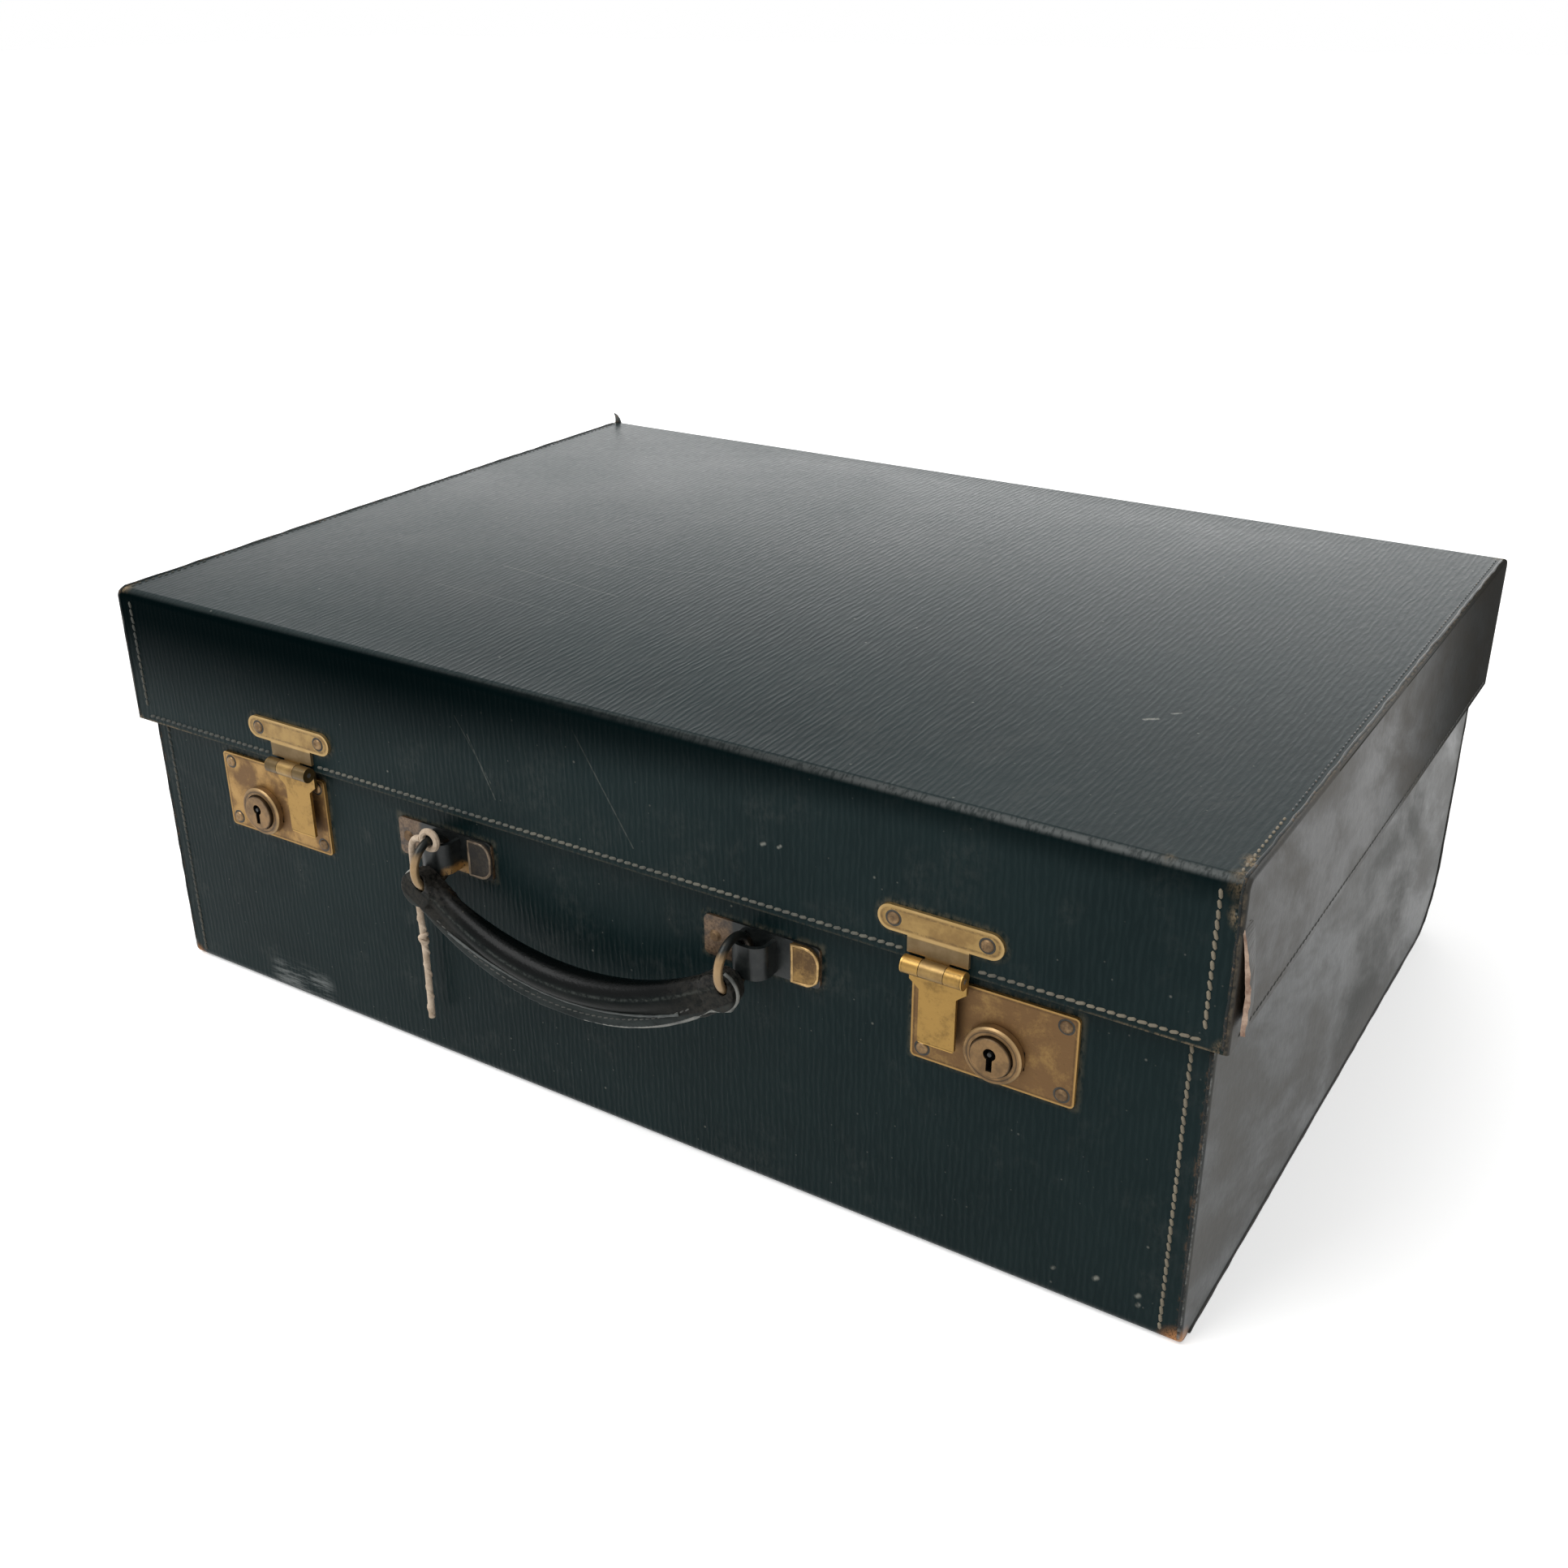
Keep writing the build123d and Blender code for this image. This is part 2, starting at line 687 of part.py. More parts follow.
def hanging_arc(half, ends_z, sag, y):
    """An arc that hangs between two ends at the same height."""
    return ThreePointArc((grip_x - half, y, ends_z), (grip_x, y, ends_z - sag), (grip_x + half, y, ends_z))


def roll_section(arc, share):
    """The roll's rounded section at a share of its length, upright across its arc."""
    swell = math.sin(math.pi * share)
    depth = roll_end_depth + (roll_depth - roll_end_depth) * swell
    height = roll_end_height + (roll_height - roll_end_height) * swell
    plane = Plane(origin=arc @ share, x_dir=(0, 1, 0), z_dir=arc % share)
    shift = Pos(0, -roll_bow * swell, 0)
    return shift * (plane * Ellipse(depth / 2, height / 2))


def make_roll():
    """The roll between the eyes, swollen in the middle and bowed forwards."""
    arc = hanging_arc(grip_half - tab_end_radius / 3, tab_z, roll_sag, tab_y)
    shares = (0, 0.08, 0.25, 0.5, 0.75, 0.92, 1)
    return loft([roll_section(arc, share) for share in shares])


def make_tab(side):
    """A flat eye tab that ends the roll, its length along the roll's slope."""
    x = grip_x + side * grip_half
    length = 2 * tab_end_radius + roll_end_height
    shape = SlotOverall(length, 2 * tab_end_radius)
    inwards = Pos(-side * (length / 2 - tab_end_radius), 0)
    tilted = Pos(x, tab_z) * Rot(0, 0, side * tab_slope) * inwards * shape
    tab = facing_front(tilted, tab_y - tab_thickness / 2, tab_thickness)
    return tab


def make_grip():
    """The grip's roll with its tabs, its flange and the piping under it."""
    roll = make_roll()
    for side in (-1, 1):
        roll += make_tab(side)
    for ring_x in ring_places:
        roll -= ring_hoop(ring_x, ring_wire + eye_clearance)
    keep("handle_grip", roll)
    flange_y = tab_y - roll_bow
    half = grip_half + flange_end_reach
    drop = flange_drop + roll_sag
    ends_z = tab_z - flange_end_drop
    centre = grip_x + flange_shift
    low_z = tab_z - drop
    edge = ThreePointArc((centre - half, ends_z), (centre, low_z), (centre + half, ends_z))
    inner = ThreePointArc((centre - half, ends_z), (centre, tab_z - roll_sag), (centre + half, ends_z))
    flange_face = flange_y - flange_thickness / 2
    flange = facing_front(make_face([edge, inner]), flange_face, flange_thickness)
    path = ThreePointArc((centre - half, flange_y, ends_z), (centre, flange_y, low_z),
                         (centre + half, flange_y, ends_z))
    piping = sweep(Plane(origin=path @ 0, z_dir=path % 0) * RegularPolygon(piping_radius, piping_sides), path)
    for side in (-1, 1):
        end = Pos(grip_x + side * grip_half, tab_z) * Circle(tab_end_radius + flange_rim)
        flange += facing_front(end, flange_face, flange_thickness)
        piping -= facing_front(end, flange_face, flange_thickness)
    piping -= roll
    for ring_x in ring_places:
        flange -= ring_hoop(ring_x, ring_wire + eye_clearance)
    keep("handle_piping", piping)
    keep("handle_flange", flange - roll - piping)


def make_handle():
    """Plates, rivets, rings and grip."""
    for place, name in enumerate(("left", "right")):
        plate_x = handle_plate_places[place]
        ring_x = ring_places[place]
        keep(f"handle_plate_{name}", make_handle_plate(plate_x, keeper_places[place]))
        rivets = [rivet(x, z, handle_face, rivet_length) for x, z in handle_rivet_places(plate_x)]
        keep(f"handle_rivets_{name}", Compound(children=rivets))
        keep(f"handle_ring_{name}", ring_hoop(ring_x, ring_wire))
    make_grip()


# The string's route, from the knot on the left ring down behind the grip
string_route = [
    (-66.4, -167.5, 102.2),
    (-73.4, -165.2, 100.2),
    (-77.2, -162.4, 88.0),
    (-77.4, -161.2, 66.5),
    (-76.8, -160.9, 43.0),
    (-77.2, -161.1, 20.0),
]


def make_string():
    """A loop knotted round the left ring, and the tail that hangs from it."""
    y, z = ring_point(string_ring_angle)
    turn = math.radians(string_ring_angle)
    tangent = (0, math.sin(turn), math.cos(turn))
    loop_radius = ring_wire + string_ring_clearance + string_radius
    place = Plane(origin=(ring_places[0], y, z), x_dir=(1, 0, 0), z_dir=tangent)
    knot = place * hoop(loop_radius, string_radius, string_sides)
    keep("string_knot", knot)
    points = [Vector(*point) for point in string_route]
    radii = []
    for before, here, after in zip(points, points[1:], points[2:]):
        turned = math.radians((here - before).get_angle(after - here))
        shorter = min((here - before).length, (after - here).length)
        radii.append(0.45 * shorter / math.tan(turned / 2))
    print("string radii", [round(radius, 1) for radius in radii])
    path = FilletPolyline(*points, radius=radii)
    tail = sweep(Plane(origin=path @ 0, z_dir=path % 0) * Circle(string_radius), path)
    print("string length", round(path.length, 1), "volume over section times length",
          round(tail.volume / (math.pi * string_radius ** 2 * path.length), 4))
    keep("string_tail", tail - knot)


make_body()
make_lid()
make_hinges()
make_locks()
make_hasps()
make_handle()
make_string()
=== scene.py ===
import math
import random

import bpy
from mathutils import Euler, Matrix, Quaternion, Vector
from mathutils.bvhtree import BVHTree


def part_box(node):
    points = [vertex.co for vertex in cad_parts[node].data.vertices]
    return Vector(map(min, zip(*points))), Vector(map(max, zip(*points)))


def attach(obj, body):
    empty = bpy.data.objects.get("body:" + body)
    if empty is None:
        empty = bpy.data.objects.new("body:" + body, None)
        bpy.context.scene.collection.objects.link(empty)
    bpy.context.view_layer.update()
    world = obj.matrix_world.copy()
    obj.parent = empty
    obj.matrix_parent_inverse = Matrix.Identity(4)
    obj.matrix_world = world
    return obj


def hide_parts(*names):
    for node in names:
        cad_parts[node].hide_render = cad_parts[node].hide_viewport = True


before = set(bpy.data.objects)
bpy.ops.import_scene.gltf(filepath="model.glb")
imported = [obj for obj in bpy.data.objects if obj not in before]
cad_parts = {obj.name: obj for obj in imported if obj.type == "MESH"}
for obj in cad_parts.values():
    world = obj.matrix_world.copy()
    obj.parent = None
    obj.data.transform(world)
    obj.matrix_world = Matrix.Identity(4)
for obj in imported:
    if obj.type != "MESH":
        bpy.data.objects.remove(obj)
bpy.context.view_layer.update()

MM = 0.001
random.seed(7)

sides = ("left", "right")

# Half the width of the round-ended bar on the hasps' lid plates
bar_half = 4.4 * MM

# Places taken from the model, in metres
lid_low, lid_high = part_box("lid_end_leather_right")
front_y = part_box("body_wrap_leather")[0][1]
lid_front_y = lid_low[1]
lid_half_x = lid_high[0]
seam_z = lid_low[2]
edge_z = lid_high[2]

# The grip's arc and where rays towards the lid and the grip start, in millimetres
grip_middle = -0.2
grip_centre_z = 184.4
crease_radius = 122.9
over_lid = 300
before_grip = -200


def fill(thing, **values):
    """Set several values of a thing."""
    for key, value in values.items():
        setattr(thing, key, value)
    return thing


def placed(name, data):
    """A new object that holds the data, in the scene."""
    obj = bpy.data.objects.new(name, data)
    bpy.context.scene.collection.objects.link(obj)
    return obj


def make_camera():
    """The camera at the photograph's place."""
    data = fill(bpy.data.cameras.new("camera"), sensor_width=36.0, sensor_fit="HORIZONTAL", lens=39.16,
                clip_start=0.05)
    data.dof.use_dof = False
    camera = placed("camera", data)
    camera.location = Vector((331.2, -553.3, 378.8)) * MM
    turn = (math.radians(64.585), math.radians(0.269), math.radians(32.276))
    camera.rotation_euler = Euler(turn, "XYZ")
    bpy.context.scene.camera = camera


make_camera()


# Material graphs

looks = {}


def toned(colour, share):
    """A colour made darker or brighter."""
    return tuple(min(1.0, share * part) for part in colour)


class Graph:
    """The nodes of a material or a world, built by calls that take numbers or sockets."""

    def __init__(self, owner):
        owner.use_nodes = True
        self.owner = owner
        self.tree = owner.node_tree

    def feed(self, socket, value):
        if isinstance(value, bpy.types.NodeSocket):
            self.tree.links.new(value, socket)
        elif isinstance(value, (tuple, list)) and len(value) == 3 and socket.type == "RGBA":
            socket.default_value = (*value, 1.0)
        else:
            socket.default_value = value

    def node(self, kind, inputs, output=0, **settings):
        """One output of a new node with these inputs, named or counted."""
        made = fill(self.tree.nodes.new(kind), **settings)
        for key, value in inputs.items():
            self.feed(made.inputs[key], value)
        return made.outputs[output]

    def math(self, operation, first, second=0.0, third=0.0):
        return self.node("ShaderNodeMath", {0: first, 1: second, 2: third}, operation=operation)

    def times(self, first, *others):
        for other in others:
            first = self.math("MULTIPLY", first, other)
        return first

    def times_plus(self, value, factor, rest):
        return self.math("MULTIPLY_ADD", value, factor, rest)

    def minus(self, first, second):
        return self.math("SUBTRACT", first, second)

    def apart(self, first, second):
        return self.math("ABSOLUTE", self.minus(first, second))

    def length(self, across, up):
        return self.math("SQRT", self.math("ADD", self.times(across, across), self.times(up, up)))

    def most(self, first, *others):
        """The largest of several values."""
        for other in others:
            first = self.math("MAXIMUM", first, other)
        return first

    def least(self, first, *others):
        """The smallest of several values."""
        for other in others:
            first = self.math("MINIMUM", first, other)
        return first

    def mix(self, share, first, second):
        return self.node("ShaderNodeMix", {"Factor": share, 6: first, 7: second}, 2, data_type="RGBA")

    def spread(self, value, low, high, to_low=0.0, to_high=1.0):
        """A value eased from one range into another."""
        ranges = {"Value": value, "From Min": low, "From Max": high, "To Min": to_low, "To Max": to_high}
        return self.node("ShaderNodeMapRange", ranges, interpolation_type="SMOOTHSTEP")

    def fade(self, value, low, high):
        """One up to the low end, easing to nothing at the high end."""
        return self.spread(value, low, high, 1.0, 0.0)

    def ease(self, value, base, low, high, to_low=0.0, to_high=1.0):
        """A value in metres, eased over a range counted in millimetres from a base in metres."""
        return self.spread(value, base + low * MM, base + high * MM, to_low, to_high)

    def near(self, distance, reach):
        """One at no distance, easing to nothing at a reach in millimetres."""
        return self.fade(distance, 0.0, reach * MM)

    def outside(self, across, up, low, high):
        """Distance outside a rectangle given by two corners, in metres."""
        gaps = []
        for place, first, last in ((across, low[0], high[0]), (up, low[1], high[1])):
            away = self.apart(place, (first + last) / 2)
            gaps.append(self.most(self.minus(away, (last - first) / 2), 0.0))
        return self.length(*gaps)

    def to_line(self, across, up, start, end):
        """Distance from a straight line between two points, in metres."""
        run = (end[0] - start[0], end[1] - start[1])
        reach = math.hypot(*run)
        unit = (run[0] / reach, run[1] / reach)
        first = self.minus(across, start[0])
        second = self.minus(up, start[1])
        along = self.times_plus(second, unit[1], self.times(first, unit[0]))
        aside = self.times_plus(second, unit[0], self.times(first, -unit[1]))
        return self.length(aside, self.most(self.times(along, -1.0), self.minus(along, reach), 0.0))


class Look(Graph):
    """A material's nodes. The finished material is kept in looks under the name given here."""

    def __init__(self, name):
        super().__init__(bpy.data.materials.new(name))
        self.name = name
        self.place = self.node("ShaderNodeTexCoord", {}, "Object")
        self.axes = [self.node("ShaderNodeSeparateXYZ", {0: self.place}, axis) for axis in range(3)]

    def scaled(self, grain, place):
        """The place in millimetres, times one number or one for each axis."""
        stretch = grain if isinstance(grain, tuple) else (grain,) * 3
        inputs = {0: place or self.place, 1: [part / MM for part in stretch]}
        return self.node("ShaderNodeVectorMath", inputs, operation="MULTIPLY")

    def noise(self, grain, detail=3.0, roughness=0.5, distortion=0.0, place=None):
        inputs = {"Vector": self.scaled(grain, place), "Scale": 1.0, "Detail": detail, "Roughness": roughness,
                  "Distortion": distortion}
        return self.node("ShaderNodeTexNoise", inputs)

    def cells(self, grain):
        """Distance from the nearest of scattered points."""
        return self.node("ShaderNodeTexVoronoi", {"Vector": self.scaled(grain, None), "Scale": 1.0})

    def bump(self, height, depth, strength=0.5):
        """The normal of a height, with its depth in millimetres."""
        return self.node("ShaderNodeBump", {"Strength": strength, "Distance": depth * MM, "Height": height})

    def tint(self, colour, *shares):
        """A colour laid over the tone so far, by the shares multiplied together."""
        self.tone = self.mix(self.times(*shares), self.tone, colour)

    def finish(self, roughness, normal=None, **whole):
        shader = self.tree.nodes["Principled BSDF"]
        self.feed(shader.inputs["Base Color"], self.tone)
        self.feed(shader.inputs["Roughness"], roughness)
        if normal is not None:
            self.feed(shader.inputs["Normal"], normal)
        for key, value in whole.items():
            self.feed(shader.inputs[key.replace("_", " ").title().replace("Ior", "IOR")], value)
        looks[self.name] = self.owner


def rib_height(g, across, along):
    """Long-grain ribs in short wandering runs, with fine creases across them."""
    flat = g.node("ShaderNodeCombineXYZ", {0: across, 1: along})
    wander = g.noise((0.11, 0.03, 0.0), 2.0, place=flat)
    shift = g.noise((0.5, 0.16, 0.0), 1.0, place=flat)
    phase = g.times_plus(wander, 1.6, g.times(across, 1.0 / (2.3 * MM)))
    phase = g.times_plus(shift, 0.7, phase)
    wave = g.times_plus(g.math("SINE", g.times(phase, 2.0 * math.pi)), 0.5, 0.5)
    runs = g.noise((0.55, 0.13, 0.0), 2.0, 0.5, place=flat)
    fine = g.noise((1.5, 0.35, 0.0), 3.0, 0.6, place=flat)
    height = g.times(wave, g.spread(runs, 0.25, 0.7, 0.35, 1.0))
    return g.times_plus(fine, 0.55, g.times_plus(runs, 0.5, height))


def flat_box(node, grow=0.0):
    """A node's box seen from the front, as two corners in X and Z, grown by some millimetres."""
    low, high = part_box(node)
    return (low[0] - grow * MM, low[2] - grow * MM), (high[0] + grow * MM, high[2] + grow * MM)


def bar_middle(g, x, z, node):
    """Distance from the middle line of the round-ended bar of a hasp's lid plate."""
    low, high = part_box(node)
    up = high[2] - bar_half
    return g.to_line(x, z, (low[0] + bar_half, up), (high[0] - bar_half, up))


def fitting_gap(g, x, z, node):
    """Distance outside a fitting on the front: a bar where it has one, its box where it has none."""
    if node.startswith("hasp"):
        return g.most(g.minus(bar_middle(g, x, z, node), bar_half), 0.0)
    return g.outside(x, z, *flat_box(node))


def strip_leather(name, wear_and_highlight_masks, fittings, scratches, bare, shaded):
    """The ribbed leather of a wrap strip, whose ribs run along the strip."""
    g = Look(name)
    x, y, z = g.axes
    height = rib_height(g, x, g.minus(y, z))
    cloud = g.noise(0.012, 4.0, 0.6)
    blotch = g.noise((0.05, 0.04, 0.05), 3.0, 0.6)
    fine = g.noise((0.5, 0.3, 0.3), 3.0, 0.65)
    grit = g.noise((2.0, 1.3, 1.3), 2.0, 0.6)
    g.tone = g.mix(g.spread(cloud, 0.32, 0.68), leather_dark, leather_light)
    g.tint(leather_ridge, g.spread(height, 0.7, 1.3), g.spread(x, -0.16, 0.1, 0.06, 0.28))
    haze = g.times(g.spread(blotch, 0.5, 0.72), g.spread(fine, 0.35, 0.65))
    g.tint(leather_haze, haze, 0.35)
    for scale, reach, share in ((0.075, 0.05, 0.5), (0.16, 0.07, 0.3)):
        specks = g.fade(g.cells(scale), 0.0, reach)
        g.tint((0.25, 0.25, 0.22), specks, share)
    planes = {"top": (y, g.ease(z, edge_z, -6, -3)), "front": (z, g.ease(y, front_y, 8, 12, 1.0, 0.0))}
    marks = []
    for start, end, width, share, plane in scratches:
        up, side = planes[plane]
        ends = [[part * MM for part in place] for place in (start, end)]
        marks.append(g.times(g.near(g.to_line(x, up, *ends), width), g.times(side, share)))
    marks = g.most(*marks)
    g.tint((0.2, 0.205, 0.18), marks, g.spread(fine, 0.35, 0.55, 0.3, 1.0))
    away = g.least(*[fitting_gap(g, x, z, node) for node in fittings])
    at_front = g.ease(y, front_y, 2, 5, 1.0, 0.0)
    grime = g.times(g.near(away, 2.6), at_front, g.spread(fine, 0.35, 0.62))
    g.tint((0.11, 0.1, 0.07), grime, 0.5)
    worn, rubbed = wear_and_highlight_masks(g, fine, grit)
    # The second wear mask is pale: on the lid a painted highlight with some real rubbing along the top front
    # edge, on the body real scuffs along the foot.
    g.tint((0.36, 0.38, 0.37), rubbed)
    g.tint(g.mix(g.spread(grit, 0.3, 0.6), toned(bare, 0.3), bare), worn)
    rough = g.times_plus(cloud, 0.12, g.times_plus(fine, 0.14, 0.24))
    rough = g.times_plus(worn, 0.3, rough)
    height = g.minus(height, g.times(marks, 0.5))
    shine = g.spread(y, -0.155, 0.08, 0.07, 0.105)
    # Painted shade: a dark band below the lid's front top edge, deepest and widest at the left, with less
    # shine in it.
    if shaded:
        reach = g.spread(x, -0.21, 0.14, 57 * MM, 13 * MM)
        below = g.math("DIVIDE", g.minus(edge_z, z), reach)
        shade = g.times(g.fade(below, 0.15, 1.0), g.spread(below, 0.0, 0.04))
        shade = g.times(shade, g.ease(y, lid_front_y, 1.5, 3.5, 1.0, 0.0))
        shade = g.times(shade, g.spread(x, -0.1, 0.2, 1.0, 0.65))
        g.tint((0.0003, 0.0028, 0.0032), shade)
        shine = g.times(shine, g.times_plus(shade, -0.95, 1.0))
    depth = g.ease(z, edge_z, -6, -2, 0.7, 0.5)
    height = g.times(height, g.times(depth, g.spread(x, -0.16, 0.05, 0.5, 1.0)))
    normal = g.bump(height, 0.17, 0.9)
    g.finish(rough, normal, specular_ior_level=shine)


def corner_wear(g, corners):
    """Wear round points, the share falling with the distance from each."""
    worn = []
    for place, reach in corners:
        inputs = {0: g.place, 1: [part * MM for part in place]}
        worn.append(g.near(g.node("ShaderNodeVectorMath", inputs, "Value", operation="DISTANCE"), reach))
    return g.most(*worn)


def lid_wear_and_edge_highlight(g, fine, grit):
    """Bare tan at the lid's corners and edges, and a pale rubbed line with a painted highlight along the top
    front edge.
    """
    x, y, z = g.axes
    corners = corner_wear(g, (
        ((225, -160, 165), 9), ((225, -160, 154), 6), ((-225, -160, 165), 9), ((225, 160, 165), 9),
        ((-225, 160, 165), 8), ((224, -148, 165), 7), ((225, -160, 111), 6), ((-225, -160, 111), 4),
        ((202, -158, 165), 3)))
    end = g.ease(g.math("ABSOLUTE", x), lid_half_x, -2.6, -1.7)
    near_corner = g.ease(y, lid_front_y, 4, 40, 1.0, 0.12)
    side = g.times(end, near_corner, g.spread(fine, 0.48, 0.62))
    side = g.times(side, g.ease(z, edge_z, -22, -8, 0.12, 1.0))
    rim = g.times(g.ease(z, seam_z, 0, 1.0, 1.0, 0.0), g.spread(fine, 0.35, 0.55, 0.1, 0.8))
    by_end = g.ease(g.math("ABSOLUTE", x), lid_half_x, -9, -3, 0.3, 1.0)
    worn = g.times(corners, by_end, g.spread(fine, 0.36, 0.56))
    near_end = g.spread(g.math("ABSOLUTE", x), 0.17, 0.215, 0.12, 0.6)
    worn = g.most(worn, g.times(side, 0.8), g.times(rim, near_end))
    # A pale pebbled line along the round of the top front edge, stronger to the right: painted highlight,
    # with some real rubbing.
    inwards = g.minus(y, lid_front_y + 1.0 * MM)
    down = g.minus(z, edge_z - 0.7 * MM)
    away = g.length(inwards, down)
    right = g.spread(x, -0.1, 0.18, 0.06, 0.95)
    pebbles = g.spread(g.noise((1.0, 0.4, 0.4), 3.0), 0.36, 0.56, 0.45, 1.0)
    rubbed = g.times(g.near(away, 2.2), right, pebbles)
    return worn, rubbed


def body_wear(g, fine, grit):
    """Bare tan at the body's lower corners, and scuffs along its foot."""
    x, y, z = g.axes
    corners = corner_wear(g, (((220, -155, 0), 9), ((-220, -155, 0), 7)))
    end = g.ease(g.math("ABSOLUTE", x), 0, 217.6, 218.8)
    side = g.times(end, g.spread(fine, 0.5, 0.66))
    worn = g.times(corners, g.spread(grit, 0.2, 0.4))
    worn = g.most(worn, g.times(side, 0.1))
    foot = g.times(g.near(z, 3), g.spread(fine, 0.4, 0.6, 0.0, 0.4))
    scuff = g.near(g.outside(x, z, (-166 * MM, 5 * MM), (-143 * MM, 9 * MM)), 9)
    smear = g.noise((0.05, 0.05, 0.5), 5.0, 0.75)
    scuff = g.times(scuff, g.spread(smear, 0.42, 0.62, 0.0, 0.35))
    return worn, g.most(foot, scuff)


def end_leather(name, lid):
    """The smoother leather of the ends, with dull smudges and raw edges, and with painted light and shade on
    the body's ends and towards the lid's back.
    """
    g = Look(name)
    x, y, z = g.axes
    grain = g.cells(0.9)
    creases = g.noise((0.5, 0.5, 0.22), 4.0, 0.6)
    fine = g.noise((0.5, 0.35, 0.35), 3.0, 0.6)
    grit = g.noise(2.2, 2.0, 0.6)
    inputs = {"Vector": g.place, "Angle": math.radians(24)}
    slanted = g.node("ShaderNodeVectorRotate", inputs, rotation_type="X_AXIS")
    smear = g.noise((0.01, 0.009, 0.024), 5.0, 0.62, 0.6, place=slanted)
    streak = g.noise((0.02, 0.024, 0.06), 4.0, 0.6, place=slanted)
    share = g.spread(g.times_plus(streak, 0.5, smear), 0.58, 0.92)
    g.tone = g.mix(share, (0.008, 0.0125, 0.0135), (0.062, 0.057, 0.048))
    if lid:
        front, top = lid_front_y, edge_z
        g.tint((0.045, 0.04, 0.034), 0.35)
        # Painted shade: darker towards the back, where the ends show less reflection.
        g.tint((0.008, 0.0085, 0.008), g.spread(y, 0.03, 0.15, 0.0, 0.7))
        low = 0.0
        pale = (0.1, 0.08, 0.055)
        rough = g.spread(y, -0.04, 0.13, 0.28, 0.75)
        shine = g.spread(y, -0.04, 0.12, 0.145, 0.05)
    else:
        front, top = front_y, 1.0
        # Painted shade: a dark patch in the middle of the body's ends, with less shine, standing in for the
        # reflection of a bowed panel.
        patch = g.near(g.outside(y, z, (14 * MM, 26 * MM), (84 * MM, 84 * MM)), 26)
        g.tint((0.022, 0.022, 0.017), patch, 0.8)
        # Painted highlight: a pale band near the back of the body's ends.
        painted_highlight_band = g.ease(y, 0, 112, 140)
        g.tint((0.1, 0.1, 0.095), painted_highlight_band, 0.5)
        low = g.ease(z, 0, 0.6, 2.6, 1.0, 0.0)
        g.tint((0.055, 0.062, 0.062), 0.3)
        rough = 0.26
        corner = corner_wear(g, (((220, -155, 0), 8), ((-220, -155, 0), 6)))
        g.tint((0.7, 0.32, 0.12), corner, g.spread(grit, 0.2, 0.4))
        pale = (0.22, 0.225, 0.215)
        shine = g.minus(g.spread(y, -0.12, 0.06, 0.16, 0.24), g.times(patch, 0.12))
    raw = g.most(g.ease(y, front, 0, 0.5, 1.0, 0.0), g.ease(z, top, -0.5, 0))
    raw = g.times(raw, g.spread(grit, 0.3, 0.55, 0.3, 1.0))
    # Painted shade on the body's ends: darker and with less shine along the bottom edge, where they meet the
    # floor.
    g.tint((0.008, 0.007, 0.006), low, 0.8)
    shine = g.times(shine, g.times_plus(low, -0.9, 1.0))
    g.tint(g.mix(g.spread(fine, 0.35, 0.65), (0.01, 0.012, 0.011), pale), raw)
    rough = g.times_plus(share, 0.2, g.times_plus(fine, 0.12, rough))
    height = g.times_plus(creases, 0.7, g.times(grain, 0.3))
    normal = g.bump(height, 0.1, 0.6)
    g.finish(rough, normal, specular_ior_level=shine)


def brass(name, bright, brown, brown_share, roughness=0.34, boxes=(), rim=1.6, metallic=0.8, lift=0.0,
          dull_barrel=False):
    """Aged brass, browned in patches, dark in its corners and rubbed bright along its border, with a painted
    highlight there too.
    """
    g = Look(name)
    x, y, z = g.axes
    patch = g.noise(0.11, 5.0, 0.6, 0.3)
    fine = g.noise(0.9, 4.0, 0.7)
    scratch = g.noise((0.25, 0.25, 3.2), 2.0)
    share = g.spread(g.times_plus(fine, 0.35, patch), 0.98 - brown_share, 1.12 - brown_share * 0.7)
    g.tone = g.mix(share, bright, brown)
    if lift:
        lifted = g.times(g.spread(x, -0.12, 0.1, lift, 0.0), g.spread(patch, 0.62, 0.4))
        g.tint(toned(bright, 1.6), lifted)
    if boxes:
        border = g.least(*[g.outside(x, z, *flat_box(node, -rim)) for node in boxes])
        line = g.times(g.spread(border, 0.0, 0.45 * rim * MM), g.spread(fine, 0.3, 0.6, 0.5, 1.0))
        g.tint(toned(brown, 0.45), line, 0.6)
        # Painted highlight with some real rubbing: a bright band just inside each plate's border.
        edge = g.spread(border, 0.45 * rim * MM, 0.8 * rim * MM)
        g.tint(toned(bright, 1.5), edge, 0.9)
    if dull_barrel:
        barrel = g.times(g.ease(z, 0, 106.5, 108), g.spread(x, -0.05, 0.05, 0.75, 0.0))
        g.tint((0.06, 0.047, 0.028), barrel)
    pits = g.fade(g.cells(0.5), 0.0, 0.16)
    g.tint(toned(brown, 0.3), pits, 0.45)
    rough = g.times_plus(share, 0.2, g.times_plus(scratch, 0.16, roughness - 0.08))
    height = g.times_plus(fine, 0.5, g.times(scratch, 0.4))
    normal = g.bump(height, 0.05)
    g.finish(rough, normal, metallic=metallic)


